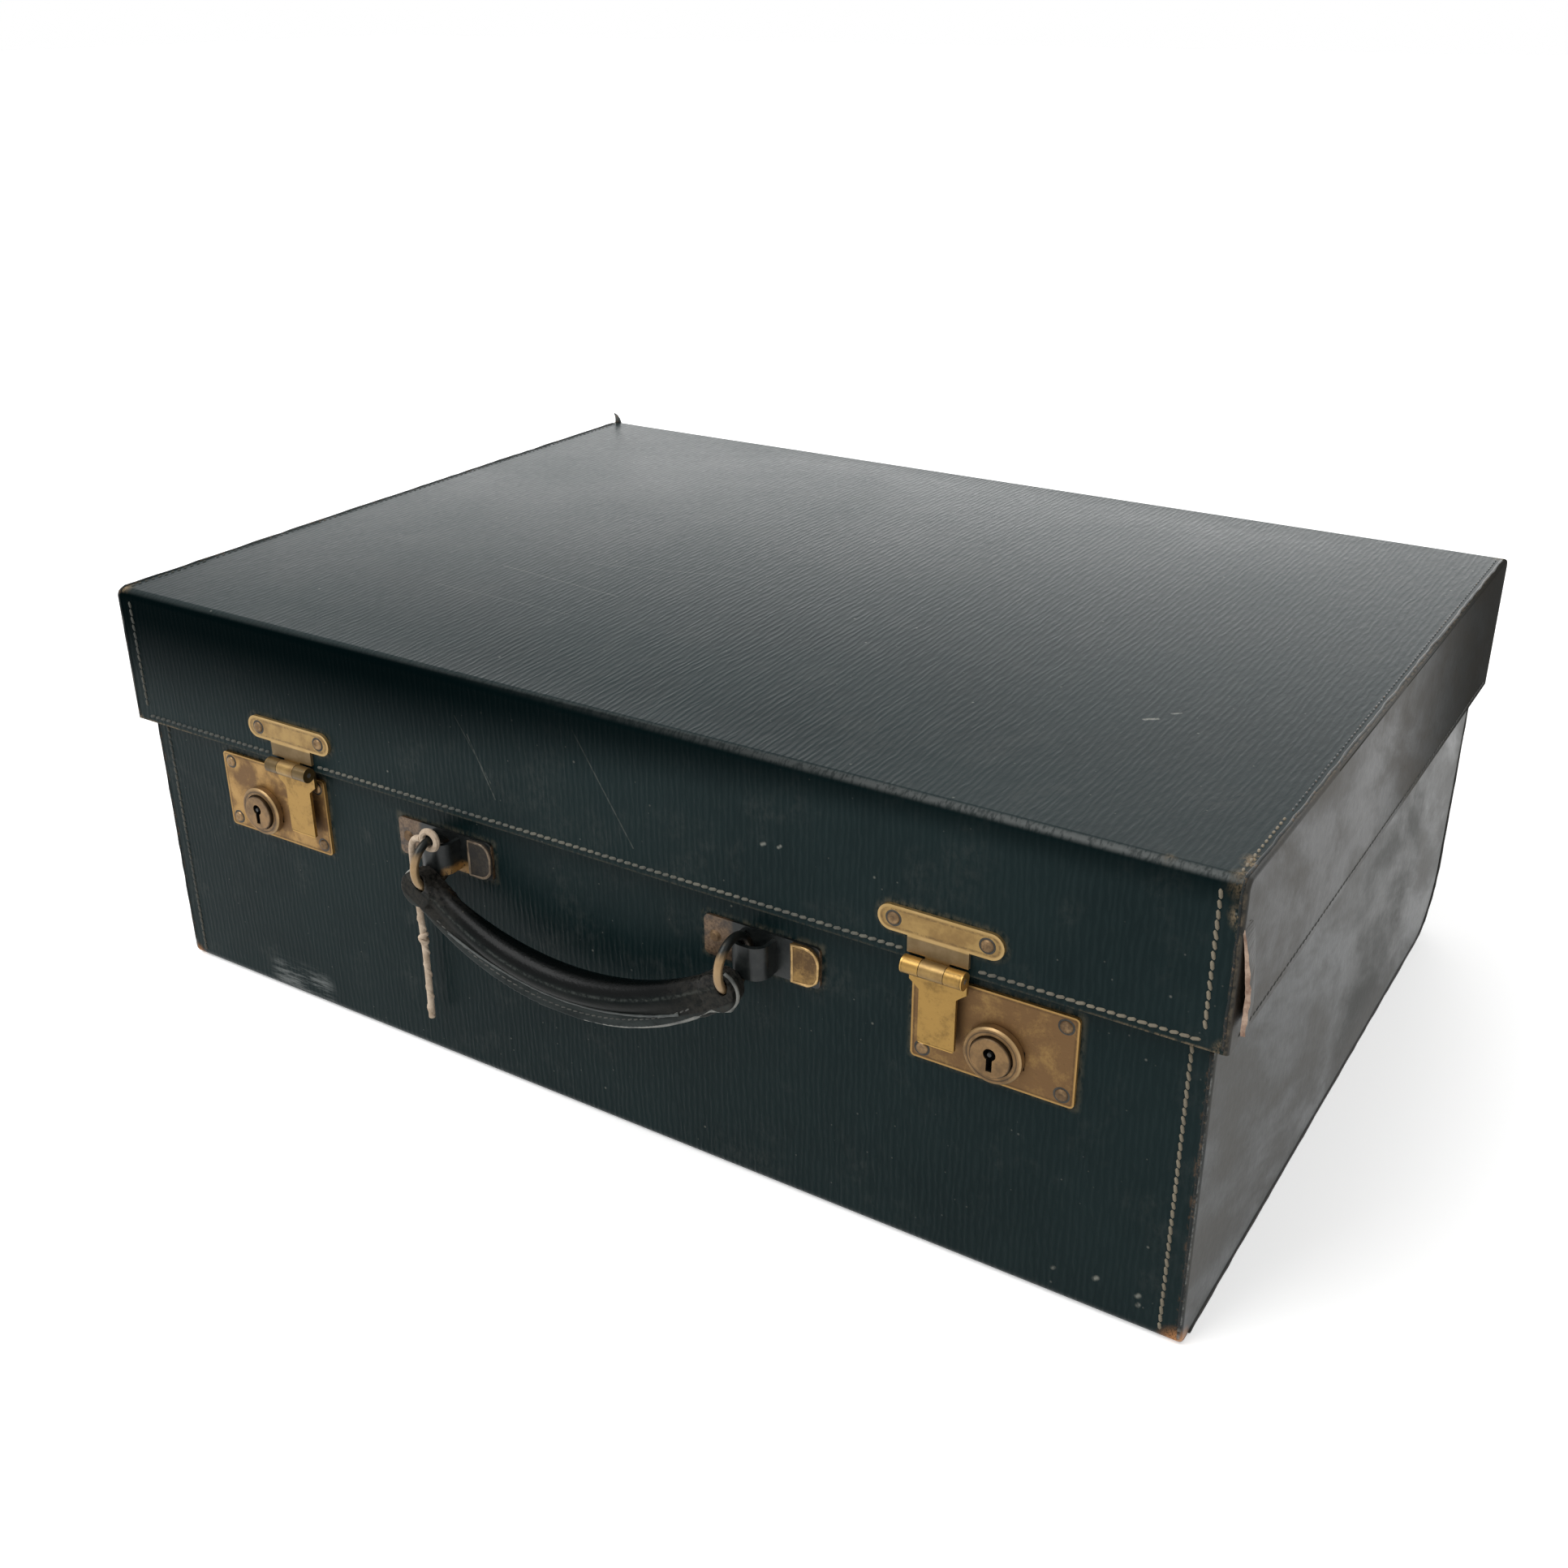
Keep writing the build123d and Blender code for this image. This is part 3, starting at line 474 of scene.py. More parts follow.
def bar_brass(name):
    """The lid plates' brass: bright rims on the bar, rubbed and with a painted highlight, and a duller neck
    with dust on it.
    """
    g = Look(name)
    x, y, z = g.axes
    patch = g.noise(0.16, 5.0, 0.6)
    fine = g.noise(0.9, 4.0, 0.7)
    g.tone = g.mix(g.spread(patch, 0.32, 0.68), (0.31, 0.2, 0.07), (0.2, 0.12, 0.042))
    inside = g.least(*[bar_middle(g, x, z, f"hasp_lid_plate_{side}") for side in sides])
    # Painted highlight with some real rubbing: a bright rim just inside the bar's edge.
    rim = g.ease(inside, 0, 3.3, 3.9)
    rim = g.times(rim, g.ease(inside, 0, 4.6, 5.0, 1.0, 0.0))
    line = g.near(g.apart(inside, 3.0 * MM), 0.6)
    line = g.times(line, g.spread(fine, 0.35, 0.6))
    g.tint((0.1, 0.062, 0.028), line, 0.7)
    g.tint((0.46, 0.31, 0.13), rim, g.spread(patch, 0.35, 0.6, 0.3, 0.75))
    neck = g.times(g.ease(inside, 0, 4.5, 5.2), g.ease(z, 0, 112, 114.5))
    dusty = g.mix(g.spread(patch, 0.35, 0.65), (0.12, 0.085, 0.045), (0.2, 0.145, 0.08))
    g.tint(dusty, neck, 0.8)
    rough = g.times_plus(neck, 0.2, g.times_plus(fine, 0.2, 0.28))
    g.finish(rough, g.bump(fine, 0.05), metallic=0.75)


def button_brass(name):
    """The lock buttons' brass, with turned rings, dark grooves, a painted highlight round the rim and a
    keyhole blackened as painted shade.
    """
    g = Look(name)
    x, y, z = g.axes
    reaches = []
    for side in sides:
        low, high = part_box(f"lock_button_{side}")
        across = g.minus(x, (low[0] + high[0]) / 2)
        reaches.append(g.length(across, g.minus(z, (low[2] + high[2]) / 2)))
    away = g.least(*reaches)
    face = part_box("lock_button_left")[0][1]
    patch = g.noise(0.2, 5.0, 0.6)
    fine = g.noise(1.2, 3.0, 0.6)
    g.tone = g.mix(g.spread(patch, 0.35, 0.65), (0.235, 0.14, 0.06), (0.13, 0.078, 0.036))
    for radius in (6.75, 8.3):
        groove = g.near(g.apart(away, radius * MM), 0.45)
        g.tint((0.03, 0.022, 0.014), groove, 0.75)
    # Painted highlight: a bright ring at the button's outer edge.
    lit = g.near(g.apart(away, 9.5 * MM), 0.6)
    g.tint((0.5, 0.34, 0.16), lit, 0.5)
    # Painted shade: the keyhole's hollow is coloured black.
    hole = g.times(g.ease(away, 0, 5.4, 5.9, 1.0, 0.0), g.ease(y, face, 0.1, 0.5))
    g.tint((0.002, 0.002, 0.002), hole)
    rings = g.math("SINE", g.times(away, 2.0 * math.pi / (0.55 * MM)))
    rough = g.times_plus(fine, 0.2, g.times_plus(hole, 0.5, 0.3))
    normal = g.bump(g.times_plus(rings, 0.3, fine), 0.04)
    g.finish(rough, normal, metallic=0.75)


def plain(name, colour, dark, scale, roughness, bump=0.1, metallic=0.0):
    """A surface with a soft mottle and a fine grain."""
    g = Look(name)
    cloud = g.noise(scale, 4.0, 0.6)
    fine = g.noise(1.2, 3.0, 0.6)
    g.tone = g.mix(g.spread(cloud, 0.3, 0.7), dark, colour)
    rough = g.times_plus(fine, 0.2, roughness - 0.1)
    g.finish(rough, g.bump(fine, bump), metallic=metallic)


def woven(name, colour, dark, pitch):
    """Plain woven lining cloth."""
    g = Look(name)
    x, y, z = g.axes
    turns = 2.0 * math.pi / (pitch * MM)
    warp = g.math("SINE", g.times(g.math("ADD", x, y), turns))
    weft = g.math("SINE", g.times(g.minus(z, y), turns))
    weave = g.times_plus(g.times(warp, weft), 0.5, 0.5)
    cloud = g.noise(0.02, 4.0)
    g.tone = g.mix(g.times(g.math("ADD", weave, cloud), 0.5), dark, colour)
    g.finish(0.8, g.bump(weave, 0.08, 0.6))


def japanned(name):
    """Black japanning on the plates and keepers, worn to brown brass at the plates' left ends."""
    g = Look(name)
    x, y, z = g.axes
    patch = g.noise((0.2, 0.2, 0.25), 5.0, 0.65)
    fine = g.noise(1.0, 3.0, 0.6)
    bare = []
    for side in sides:
        low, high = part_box(f"handle_plate_{side}")
        bare.append(g.times(g.ease(x, low[0], 9, 12, 1.0, 0.0), g.ease(x, low[0], -3, -2)))
        bare.append(g.near(g.apart(x, high[0]), 0.8))
    worn = g.most(*bare)
    worn = g.times(worn, g.spread(patch, 0.3, 0.55, 0.35, 1.0))
    black = g.mix(g.spread(patch, 0.35, 0.7), (0.006, 0.0085, 0.009), (0.02, 0.023, 0.022))
    brown = g.mix(g.spread(fine, 0.35, 0.65), (0.075, 0.042, 0.02), (0.16, 0.1, 0.055))
    g.tone = g.mix(worn, black, brown)
    # Bare brass under the left keeper with a painted highlight on it: a bright orange patch.
    bare = g.near(g.outside(x, z, (-59 * MM, 86.5 * MM), (-53 * MM, 89 * MM)), 2.5)
    g.tint((0.36, 0.2, 0.065), bare, g.spread(fine, 0.3, 0.5))
    rough = g.times_plus(patch, 0.25, 0.22)
    g.finish(rough, g.bump(patch, 0.06, 0.6), metallic=0.3)


def ring_brass(name):
    """The rings' wire, black on top and rubbed to pale brass on its front leg."""
    g = Look(name)
    x, y, z = g.axes
    patch = g.noise(0.3, 4.0, 0.6)
    bare = g.math("ADD", g.ease(z, 0, 101.5, 98.0, 0.0, 1.0), g.times_plus(patch, 0.5, -0.25))
    bare = g.times(bare, g.ease(y, 0, -170.5, -166.0, 1.0, 0.15))
    g.tone = g.mix(bare, (0.012, 0.014, 0.013), g.mix(patch, (0.36, 0.25, 0.14), (0.27, 0.17, 0.075)))
    rough = g.times_plus(patch, 0.2, 0.28)
    g.finish(rough, g.bump(patch, 0.05), metallic=0.6)


def grip_leather(name):
    """The grip's dark leather, rubbed at its ends, with painted light and shade: darker on top, a pale crest
    line, paler down the roll's front, browner and paler on its flange, and dark in the crease.
    """
    g = Look(name)
    x, y, z = g.axes
    fine = g.noise(0.6, 4.0, 0.65)
    grain = g.cells(1.1)
    smear = g.noise((0.05, 0.12, 0.16), 4.0, 0.6, 0.5)
    reach = g.length(g.minus(x, grip_middle * MM), g.minus(z, grip_centre_z * MM))
    g.tone = g.mix(g.spread(smear, 0.35, 0.65), (0.0016, 0.0036, 0.0037), (0.0075, 0.0095, 0.0092))
    # Painted shade: the roll's top is darker.
    top = g.ease(reach, 0, 114.6, 116.2, 1.0, 0.0)
    g.tint((0.001, 0.0016, 0.0016), top)
    # Painted light: paler down the roll's front and on the flange, where the lower flank catches light.
    flange = g.ease(reach, 0, 122.6, 123.6)
    middle = g.times(g.ease(reach, 0, 116.8, 119.5), g.spread(smear, 0.3, 0.6, 0.35, 0.9))
    g.tint((0.0155, 0.0165, 0.0155), middle)
    paler = g.mix(g.spread(smear, 0.35, 0.65), (0.014, 0.0185, 0.0185), (0.034, 0.041, 0.04))
    g.tint(paler, flange)
    # Painted highlight with some rubbing: a pale line along the roll's crest.
    crest = g.near(g.apart(reach, 116.4 * MM), 0.9)
    g.tint((0.05, 0.056, 0.052), crest, g.spread(fine, 0.4, 0.6, 0.1, 0.8))
    # Painted shade: a dark line in the crease above the flange.
    crease = g.near(g.apart(reach, crease_radius * MM), 0.7)
    g.tint((0.004, 0.0045, 0.0045), crease, 0.6)
    ends = g.ease(g.math("ABSOLUTE", x), 0, 38, 66)
    rubbed = g.times(ends, g.spread(fine, 0.36, 0.6, 0.15, 1.0))
    g.tint((0.045, 0.041, 0.035), rubbed, 0.6)
    nicks = g.fade(g.cells((0.16, 0.2, 0.2)), 0.0, 0.08)
    g.tint((0.16, 0.145, 0.12), nicks, 0.4)
    rough = g.times_plus(smear, 0.3, g.times_plus(rubbed, 0.2, 0.27))
    rough = g.times_plus(top, -0.16, rough)
    height = g.times_plus(grain, 0.4, fine)
    shine = g.times_plus(top, 0.06, 0.045)
    g.finish(rough, g.bump(height, 0.12, 0.6), specular_ior_level=shine)


def edge_bead(name):
    """The turned edge of the strips, grey with a painted sheen on top that grows towards the back, and dark
    down the corners.
    """
    g = Look(name)
    x, y, z = g.axes
    cloud = g.noise(0.06, 4.0, 0.6)
    fine = g.noise((0.8, 0.5, 0.8), 3.0, 0.6)
    # Painted sheen: paler along the top, growing towards the back.
    painted_top_sheen = g.times(g.ease(z, edge_z, -1.5, -0.5), g.spread(y, -0.14, -0.05, 0.2, 1.0))
    g.tone = g.mix(g.spread(cloud, 0.3, 0.7), (0.006, 0.01, 0.0105), (0.016, 0.02, 0.02))
    g.tint((0.075, 0.08, 0.078), painted_top_sheen, g.spread(cloud, 0.3, 0.6, 0.35, 1.0))
    bare = g.spread(g.times_plus(cloud, 0.5, fine), 0.78, 0.95)
    g.tint((0.15, 0.1, 0.06), bare, 0.6)
    g.finish(g.times_plus(fine, 0.2, 0.3), g.bump(fine, 0.15), specular_ior_level=0.15)


def thread(name, pale, dull):
    """Waxed thread, dusty in places."""
    g = Look(name)
    cloud = g.noise(0.04, 3.0, 0.6)
    fine = g.noise(0.9, 2.0)
    share = g.spread(g.times_plus(fine, 0.4, cloud), 0.5, 0.85)
    x = g.axes[0]
    g.tone = g.mix(share, dull, pale)
    g.tint((0.24, 0.2, 0.14), g.spread(x, 0.12, 0.21, 0.0, 0.6))
    g.tint((0.018, 0.023, 0.022), g.spread(x, -0.215, -0.08, 0.75, 0.0))
    g.finish(0.8, g.bump(fine, 0.05, 0.4))


leather_dark = (0.003, 0.0105, 0.0115)
leather_light = (0.006, 0.0155, 0.0165)
leather_ridge = (0.013, 0.025, 0.026)
leather_haze = (0.035, 0.042, 0.04)
lid_marks = [
    ((-46.9, 144.1), (-36.4, 122.1), 0.45, 0.3, "front"),
    ((-0.1, 156.4), (22.7, 119.4), 0.45, 0.25, "front"),
    ((-52, 150), (-38, 128), 0.35, 0.25, "front"),
    ((73.2, 134.6), (74.3, 135.2), 0.9, 0.9, "front"),
    ((79.3, 135.2), (80.2, 135.9), 0.8, 0.9, "front"),
    ((-110, -65), (-48, -72), 0.4, 0.3, "top"),
    ((-118, -94), (-52, -96), 0.3, 0.25, "top"),
    ((-80, -46), (-20, -31), 0.35, 0.25, "top"),
    ((162.8, -76.0), (166.0, -73.4), 1.1, 0.9, "top"),
    ((168.6, -67.0), (170.6, -65.2), 0.9, 0.9, "top"),
]
body_marks = [
    ((205.4, 13.2), (206.0, 13.9), 1.2, 0.9, "front"),
    ((205.9, 9.8), (206.2, 10.4), 1.1, 0.9, "front"),
    ((191.5, 13.6), (192.3, 14.4), 1.2, 1.0, "front"),
    ((177.5, 11.4), (178.0, 11.9), 1.0, 0.8, "front"),
]
body_fittings = [f"{name}_{side}" for name in ("lock_plate", "handle_plate") for side in sides]
lid_fittings = [f"hasp_lid_plate_{side}" for side in sides]

strip_leather("lid_strip", lid_wear_and_edge_highlight, lid_fittings, lid_marks, (0.38, 0.28, 0.17), True)
strip_leather("body_strip", body_wear, body_fittings, body_marks, (0.75, 0.34, 0.13), False)
end_leather("lid_end_leather", True)
end_leather("body_end_leather", False)
brass("brass_plate", (0.25, 0.15, 0.05), (0.15, 0.083, 0.034), 0.6,
      boxes=("lock_plate_left", "lock_plate_right"), lift=0.7)
brass("brass_leaf", (0.32, 0.19, 0.052), (0.22, 0.13, 0.037), 0.35, rim=0.9,
      boxes=("hasp_leaf_left", "hasp_leaf_right"), dull_barrel=True)
bar_brass("brass_bar")
button_brass("brass_button")
ring_brass("brass_ring")
brass("rivet_brass", (0.26, 0.165, 0.08), (0.12, 0.075, 0.04), 0.45, 0.4)
plain("rivet_dark", (0.05, 0.045, 0.036), (0.02, 0.018, 0.014), 0.4, 0.5, 0.05, 0.5)
brass("pad_brass", (0.24, 0.145, 0.05), (0.1, 0.058, 0.025), 0.45)
brass("pad_brown", (0.055, 0.045, 0.034), (0.022, 0.02, 0.018), 0.5, 0.4, metallic=0.4)
plain("pad_rim_brass", (0.5, 0.33, 0.14), (0.3, 0.19, 0.08), 0.4, 0.35, 0.05, 0.8)
plain("pad_rim_brown", (0.24, 0.18, 0.12), (0.09, 0.065, 0.045), 0.4, 0.5, 0.05, 0.4)
brass("hinge_brass", (0.42, 0.31, 0.16), (0.2, 0.14, 0.08), 0.4)
japanned("black_japan")
plain("steel", (0.4, 0.39, 0.37), (0.2, 0.18, 0.16), 0.3, 0.45, 0.04, 0.9)
plain("dark_steel", (0.05, 0.05, 0.047), (0.02, 0.02, 0.018), 0.3, 0.5, 0.04, 0.6)
plain("board", (0.42, 0.33, 0.23), (0.3, 0.23, 0.16), 0.1, 0.8)
plain("felt", (0.32, 0.31, 0.29), (0.24, 0.23, 0.22), 0.1, 0.95, 0.3)
woven("lining", (0.46, 0.38, 0.27), (0.3, 0.24, 0.17), 0.7)
plain("binding", (0.055, 0.06, 0.06), (0.03, 0.035, 0.035), 0.1, 0.5)
grip_leather("grip_leather")
plain("piping_leather", (0.3, 0.3, 0.27), (0.06, 0.066, 0.062), 0.12, 0.5, 0.12)
plain("crease_leather", (0.075, 0.085, 0.08), (0.02, 0.025, 0.025), 0.12, 0.5, 0.12)
edge_bead("edge_bead")
plain("bead_dark", (0.02, 0.018, 0.014), (0.005, 0.005, 0.004), 0.2, 0.7, 0.15)
plain("raw_edge", (0.5, 0.36, 0.27), (0.22, 0.13, 0.09), 0.4, 0.8, 0.2)
plain("string", (0.62, 0.5, 0.38), (0.4, 0.3, 0.21), 0.3, 0.85, 0.25)
thread("thread_tan", (0.19, 0.17, 0.125), (0.07, 0.068, 0.052))
plain("thread_grey", (0.09, 0.09, 0.08), (0.03, 0.032, 0.03), 0.2, 0.8, 0.1)
thread("thread_dusty", (0.125, 0.12, 0.095), (0.04, 0.046, 0.043))

dressing = {
    "lid_strip": ["lid_wrap_leather"],
    "body_strip": ["body_wrap_leather"],
    "board": ["body_carcass", "lid_carcass", "lid_liner"],
    "lining": ["body_lining", "lid_lining"],
    "felt": ["lid_padding"],
    "binding": ["body_rim_binding"],
    "grip_leather": ["handle_grip", "handle_flange"],
    "piping_leather": ["handle_piping"],
    "string": ["string_knot", "string_tail"],
}
pairs = {
    "lid_end_leather": ["lid_end_leather"],
    "body_end_leather": ["body_end_leather"],
    "brass_plate": ["lock_plate"],
    "brass_button": ["lock_button"],
    "rivet_brass": ["lock_rivets", "hasp_rivets", "handle_rivets"],
    "brass_leaf": ["hasp_leaf", "hasp_staple"],
    "brass_bar": ["hasp_lid_plate"],
    "brass_ring": ["handle_ring"],
    "hinge_brass": ["hinge_body_leaf", "hinge_lid_leaf"],
    "black_japan": ["handle_plate"],
    "steel": ["lock_case", "lock_slide", "hasp_pin", "hinge_pin"],
    "dark_steel": ["keyhole_pin"],
}
for look, names in pairs.items():
    dressing[look] = [f"{name}_{side}" for name in names for side in sides]


def dress(mesh, look):
    """Give a mesh one material."""
    mesh.materials.clear()
    mesh.materials.append(looks[look])


for look, nodes in dressing.items():
    for node in nodes:
        dress(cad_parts[node].data, look)


# Building small pieces

def point(x, y, z):
    """A point given in millimetres."""
    return Vector((x * MM, y * MM, z * MM))


def arc(across, up, radius, angles):
    """Points round a centre in a plane, at angles given in degrees."""
    turns = [math.radians(angle) for angle in angles]
    return [(across + radius * math.cos(turn), up + radius * math.sin(turn)) for turn in turns]


def uneven(path, low, high):
    """A girth for each point of a path, drawn between two sizes in millimetres."""
    return [random.uniform(low, high) * MM for _ in path]


class Shape:
    """A mesh as it is built up, from corners and faces."""

    def __init__(self):
        self.verts = []
        self.faces = []

    def mesh(self, name):
        made = bpy.data.meshes.new(name)
        made.from_pydata(self.verts, [], self.faces)
        return made

    def skin(self, first, rows, sides, closed=False, capped=False):
        """Faces between rows of corners, each row running once round."""
        for row in range(rows if closed else rows - 1):
            here = first + row * sides
            after = first + (row + 1) % rows * sides
            for step in range(sides):
                ahead = (step + 1) % sides
                self.faces.append((here + step, here + ahead, after + ahead, after + step))
        if capped:
            last = first + (rows - 1) * sides
            self.faces.append(tuple(first + step for step in reversed(range(sides))))
            self.faces.append(tuple(last + step for step in range(sides)))

    def add_nodes(self, *nodes):
        """The model's own surfaces of some nodes."""
        for node in nodes:
            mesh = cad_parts[node].data
            first = len(self.verts)
            self.verts += [vertex.co.copy() for vertex in mesh.vertices]
            self.faces += [tuple(first + index for index in face.vertices) for face in mesh.polygons]

    def tube(self, path, girths, sides=8, closed=False):
        """A round tube along a path of points, as wide as the girth at each point."""
        first = len(self.verts)
        count = len(path)
        side = None
        for index, spot in enumerate(path):
            if closed:
                ahead = path[(index + 1) % count] - path[index - 1]
            else:
                ahead = path[min(index + 1, count - 1)] - path[max(index - 1, 0)]
            ahead = ahead.normalized()
            if side is None:
                side = ahead.orthogonal().normalized()
            side = (side - ahead * side.dot(ahead)).normalized()
            other = ahead.cross(side)
            for step in range(sides):
                turn = 2.0 * math.pi * step / sides
                self.verts.append(spot + (side * math.cos(turn) + other * math.sin(turn)) * girths[index])
        self.skin(first, count, sides, closed, capped=not closed)

    def stitch(self, middle, along, out, length, width, rise):
        """One short thread lying on a surface, its ends sunk."""
        side = out.cross(along)
        first = len(self.verts)
        for share, girth in ((-0.5, 0.3), (-0.3, 1.0), (0.3, 1.0), (0.5, 0.3)):
            for step in range(6):
                turn = math.pi * step / 3.0
                spot = side * (math.cos(turn) * girth * width / 2) + out * (math.sin(turn) * girth * rise)
                self.verts.append(middle + along * (share * length) + spot)
        self.skin(first, 4, 6, capped=True)

    def stitch_row(self, tree, start, end, out, size, gaps=()):
        """A straight row of stitches between two points, in millimetres, each a little askew.
        The size is a stitch's length, width and rise, and the gaps are ranges of X without stitches."""
        start, end, out = Vector(start) * MM, Vector(end) * MM, Vector(out)
        run = end - start
        count = round(run.length / stitch_pitch)
        along = run.normalized()
        for index in range(count):
            middle = start + run * ((index + 0.5) / count)
            tilt = math.radians(random.uniform(7, 17))
            length = size[0] * random.uniform(0.85, 1.1) * MM
            if any(low <= middle.x / MM <= high for low, high in gaps):
                continue
            spot, face, _, _ = tree.ray_cast(middle + out * 20 * MM, -out)
            if spot is None:
                spot, face, _, _ = tree.find_nearest(middle)
            turned = Quaternion(face, tilt) @ along
            self.stitch(spot, turned, face, length, size[1] * MM, size[2] * MM)


def surface_of(*nodes):
    """A tree of the nodes' faces, for finding places on them."""
    shape = Shape()
    shape.add_nodes(*nodes)
    return BVHTree.FromPolygons(shape.verts, shape.faces)


def mesh_piece(name, mesh, look, body, stands_for=()):
    """A mesh as a smooth piece that rides on a body."""
    dress(mesh, look)
    for face in mesh.polygons:
        face.use_smooth = True
    piece = placed(name, mesh)
    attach(piece, body)
    if stands_for:
        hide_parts(*stands_for)
    return piece


def new_piece(name, shape, look, body, stands_for=()):
    return mesh_piece(name, shape.mesh(name), look, body, stands_for)


def tube_piece(name, path, girths, look, body, slot, stands_for=(), **form):
    shape = Shape()
    shape.tube(path, girths, **form)
    new_piece(name, shape, look, body, stands_for)


# The string that hangs from the left ring: its route repeats the model's

string_route = [
    (-66.4, -167.5, 102.2),
    (-73.4, -165.2, 100.2),
    (-77.2, -162.4, 88.0),
    (-77.4, -161.2, 66.5),
    (-76.8, -160.9, 43.0),
    (-77.2, -161.1, 20.0),
]
string_diameter = 2.5 * MM


def make_string_knots():
    """Two small knots tied in the hanging tail, and a strand that winds round it."""
    shape = Shape()
    marks = [Vector(place) for place in string_route[2:]]
    path = []
    steps, turn, reach = 24, 0.62, 0.85
    for index in range(len(marks) - 1):
        for step in range(steps):
            angle = (index * steps + step) * turn
            spot = marks[index].lerp(marks[index + 1], (step + 0.5) / steps)
            path.append((spot + Vector((math.cos(angle), math.sin(angle), 0)) * reach) * MM)
    shape.tube(path, uneven(path, 0.55, 0.85), sides=7)
    for x, y, z in ((-77.35, -161.6, 74.0), (-77.1, -161.2, 55.0)):
        for way in (-1, 1):
            path = []
            for step in range(12):
                angle = 2.0 * math.pi * step / 12
                path.append(Vector((x + 1.3 * math.cos(angle), y + 1.1 * math.sin(angle),
                                    z + way * (0.8 + 0.9 * math.cos(angle)))) * MM)
            shape.tube(path, [0.9 * MM] * 12, closed=True)
    return new_piece("string_knots", shape, "string", "case")


def make_string():
    """The hanging tail as one smooth line."""
    curve = bpy.data.curves.new("string_line", "CURVE")
    fill(curve, dimensions="3D", bevel_depth=string_diameter / 2, bevel_resolution=4, use_fill_caps=True)
    spline = curve.splines.new("NURBS")
    spline.points.add(len(string_route) - 1)
    for knot, place in zip(spline.points, string_route):
        knot.co = (*(part * MM for part in place), 1.0)
    fill(spline, order_u=3, use_endpoint_u=True, resolution_u=12)
    line = placed("string_line", curve)
    curve.materials.append(looks["string"])
    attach(line, "case")
    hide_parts("string_tail")
    make_string_knots()


# Stitches and edges, with places in millimetres

stitch_pitch = 3.1 * MM
rim_stitch_z = 113.2
hasp_gaps = [(-147.5, -124.5), (124.5, 147.5)]
hinge_gaps = [(-145, -105), (105, 145)]


def make_stitching():
    """Rows round the lid's rim and up the corners of lid and body."""
    lid_tree = surface_of("lid_wrap_leather", "lid_end_leather_left", "lid_end_leather_right")
    body_tree = surface_of("body_wrap_leather", "body_end_leather_left", "body_end_leather_right")
    usual, small, top, thin = (2.9, 1.2, 0.5), (2.4, 0.7, 0.25), (2.0, 0.9, 0.35), (2.0, 0.6, 0.26)
    front, back, up = (0, -1, 0), (0, 1, 0), (0, 0, 1)
    walls = ((-160, front), (160, back))
    rim_rows = [((-217, y, rim_stitch_z), (217, y, rim_stitch_z), out, usual, gaps)
                for (y, out), gaps in zip(walls, (hasp_gaps, hinge_gaps))]
    end_rows = [((x, -153, rim_stitch_z), (x, 153, rim_stitch_z), out, small)
                for x, out in ((-225, (-1, 0, 0)), (225, (1, 0, 0)))]
    corner_rows = [((x, y, 117), (x, y, 161), out, usual) for x in (-217.6, 217.6) for y, out in walls]
    corner_rows += [((x, -156, 165), (x, -118, 165), up, top) for x in (-221.2, 221.2)]
    edge_rows = [((x, -114, 165), (x, 154, 165), up, thin) for x in (-221.4, 221.4)]
    body_rows = [((x, -155.5, 4), (x, -155.5, 108), front, usual) for x in (-213.4, 213.4)]
    for name, look, body, tree, rows in (
            ("lid_rim_stitches", "thread_dusty", "lid", lid_tree, rim_rows),
            ("lid_end_stitches", "thread_grey", "lid", lid_tree, end_rows),
            ("lid_corner_stitches", "thread_tan", "lid", lid_tree, corner_rows),
            ("lid_edge_stitches", "edge_bead", "lid", lid_tree, edge_rows),
            ("body_corner_stitches", "thread_tan", "case", body_tree, body_rows)):
        shape = Shape()
        for row in rows:
            shape.stitch_row(tree, *row)
        new_piece(name, shape, look, body)


def make_beads():
    """The strips' turned edges, standing a little proud along the ends."""
    front_edge = [(-155.2, height) for height in range(108, 6, -5)]
    end_line = [(y, 0.75) for y in range(-148, 128, 5)] + arc(127.5, 28.0, 27.3, range(-90, 1, 6))
    end_line += [(154.8, height) for height in range(32, 109, 5)]
    for side, name in zip((-1, 1), sides):
        tree = surface_of("lid_wrap_leather", f"lid_end_leather_{name}")
        x = side * 223.3
        path = [point(x, -159.9, height) for height in range(112, 162, 4)]
        path += [point(x, y, z) for y, z in arc(-156.5, 161.6, 3.5, (165, 140, 115, 90))]
        for step in range(1, 63):
            spot = tree.ray_cast(point(x, -156.5 + step * 5.0, over_lid), Vector((0, 0, -1)))[0]
            if spot is not None:
                path.append(spot)
        wander = [point(side * random.uniform(-0.25, 0.2), 0, 0) for _ in path]
        girths = [random.uniform(0.62, 0.95) * (1.0 if spot.z > edge_z else 0.6) * MM for spot in path]
        path = [spot + shift for spot, shift in zip(path, wander)]
        tube_piece(f"lid_edge_bead_{name}", path, girths, "edge_bead", "lid", "case_leather")
        for title, out, places, look in (("body_edge_bead", 219.2, front_edge, "edge_bead"),
                                         ("body_end_line", 220.4, end_line, "bead_dark")):
            path = [point(side * out, y, z) for y, z in places]
            tube_piece(f"{title}_{name}", path, uneven(path, 0.5, 0.72), look, "case", "case_leather")


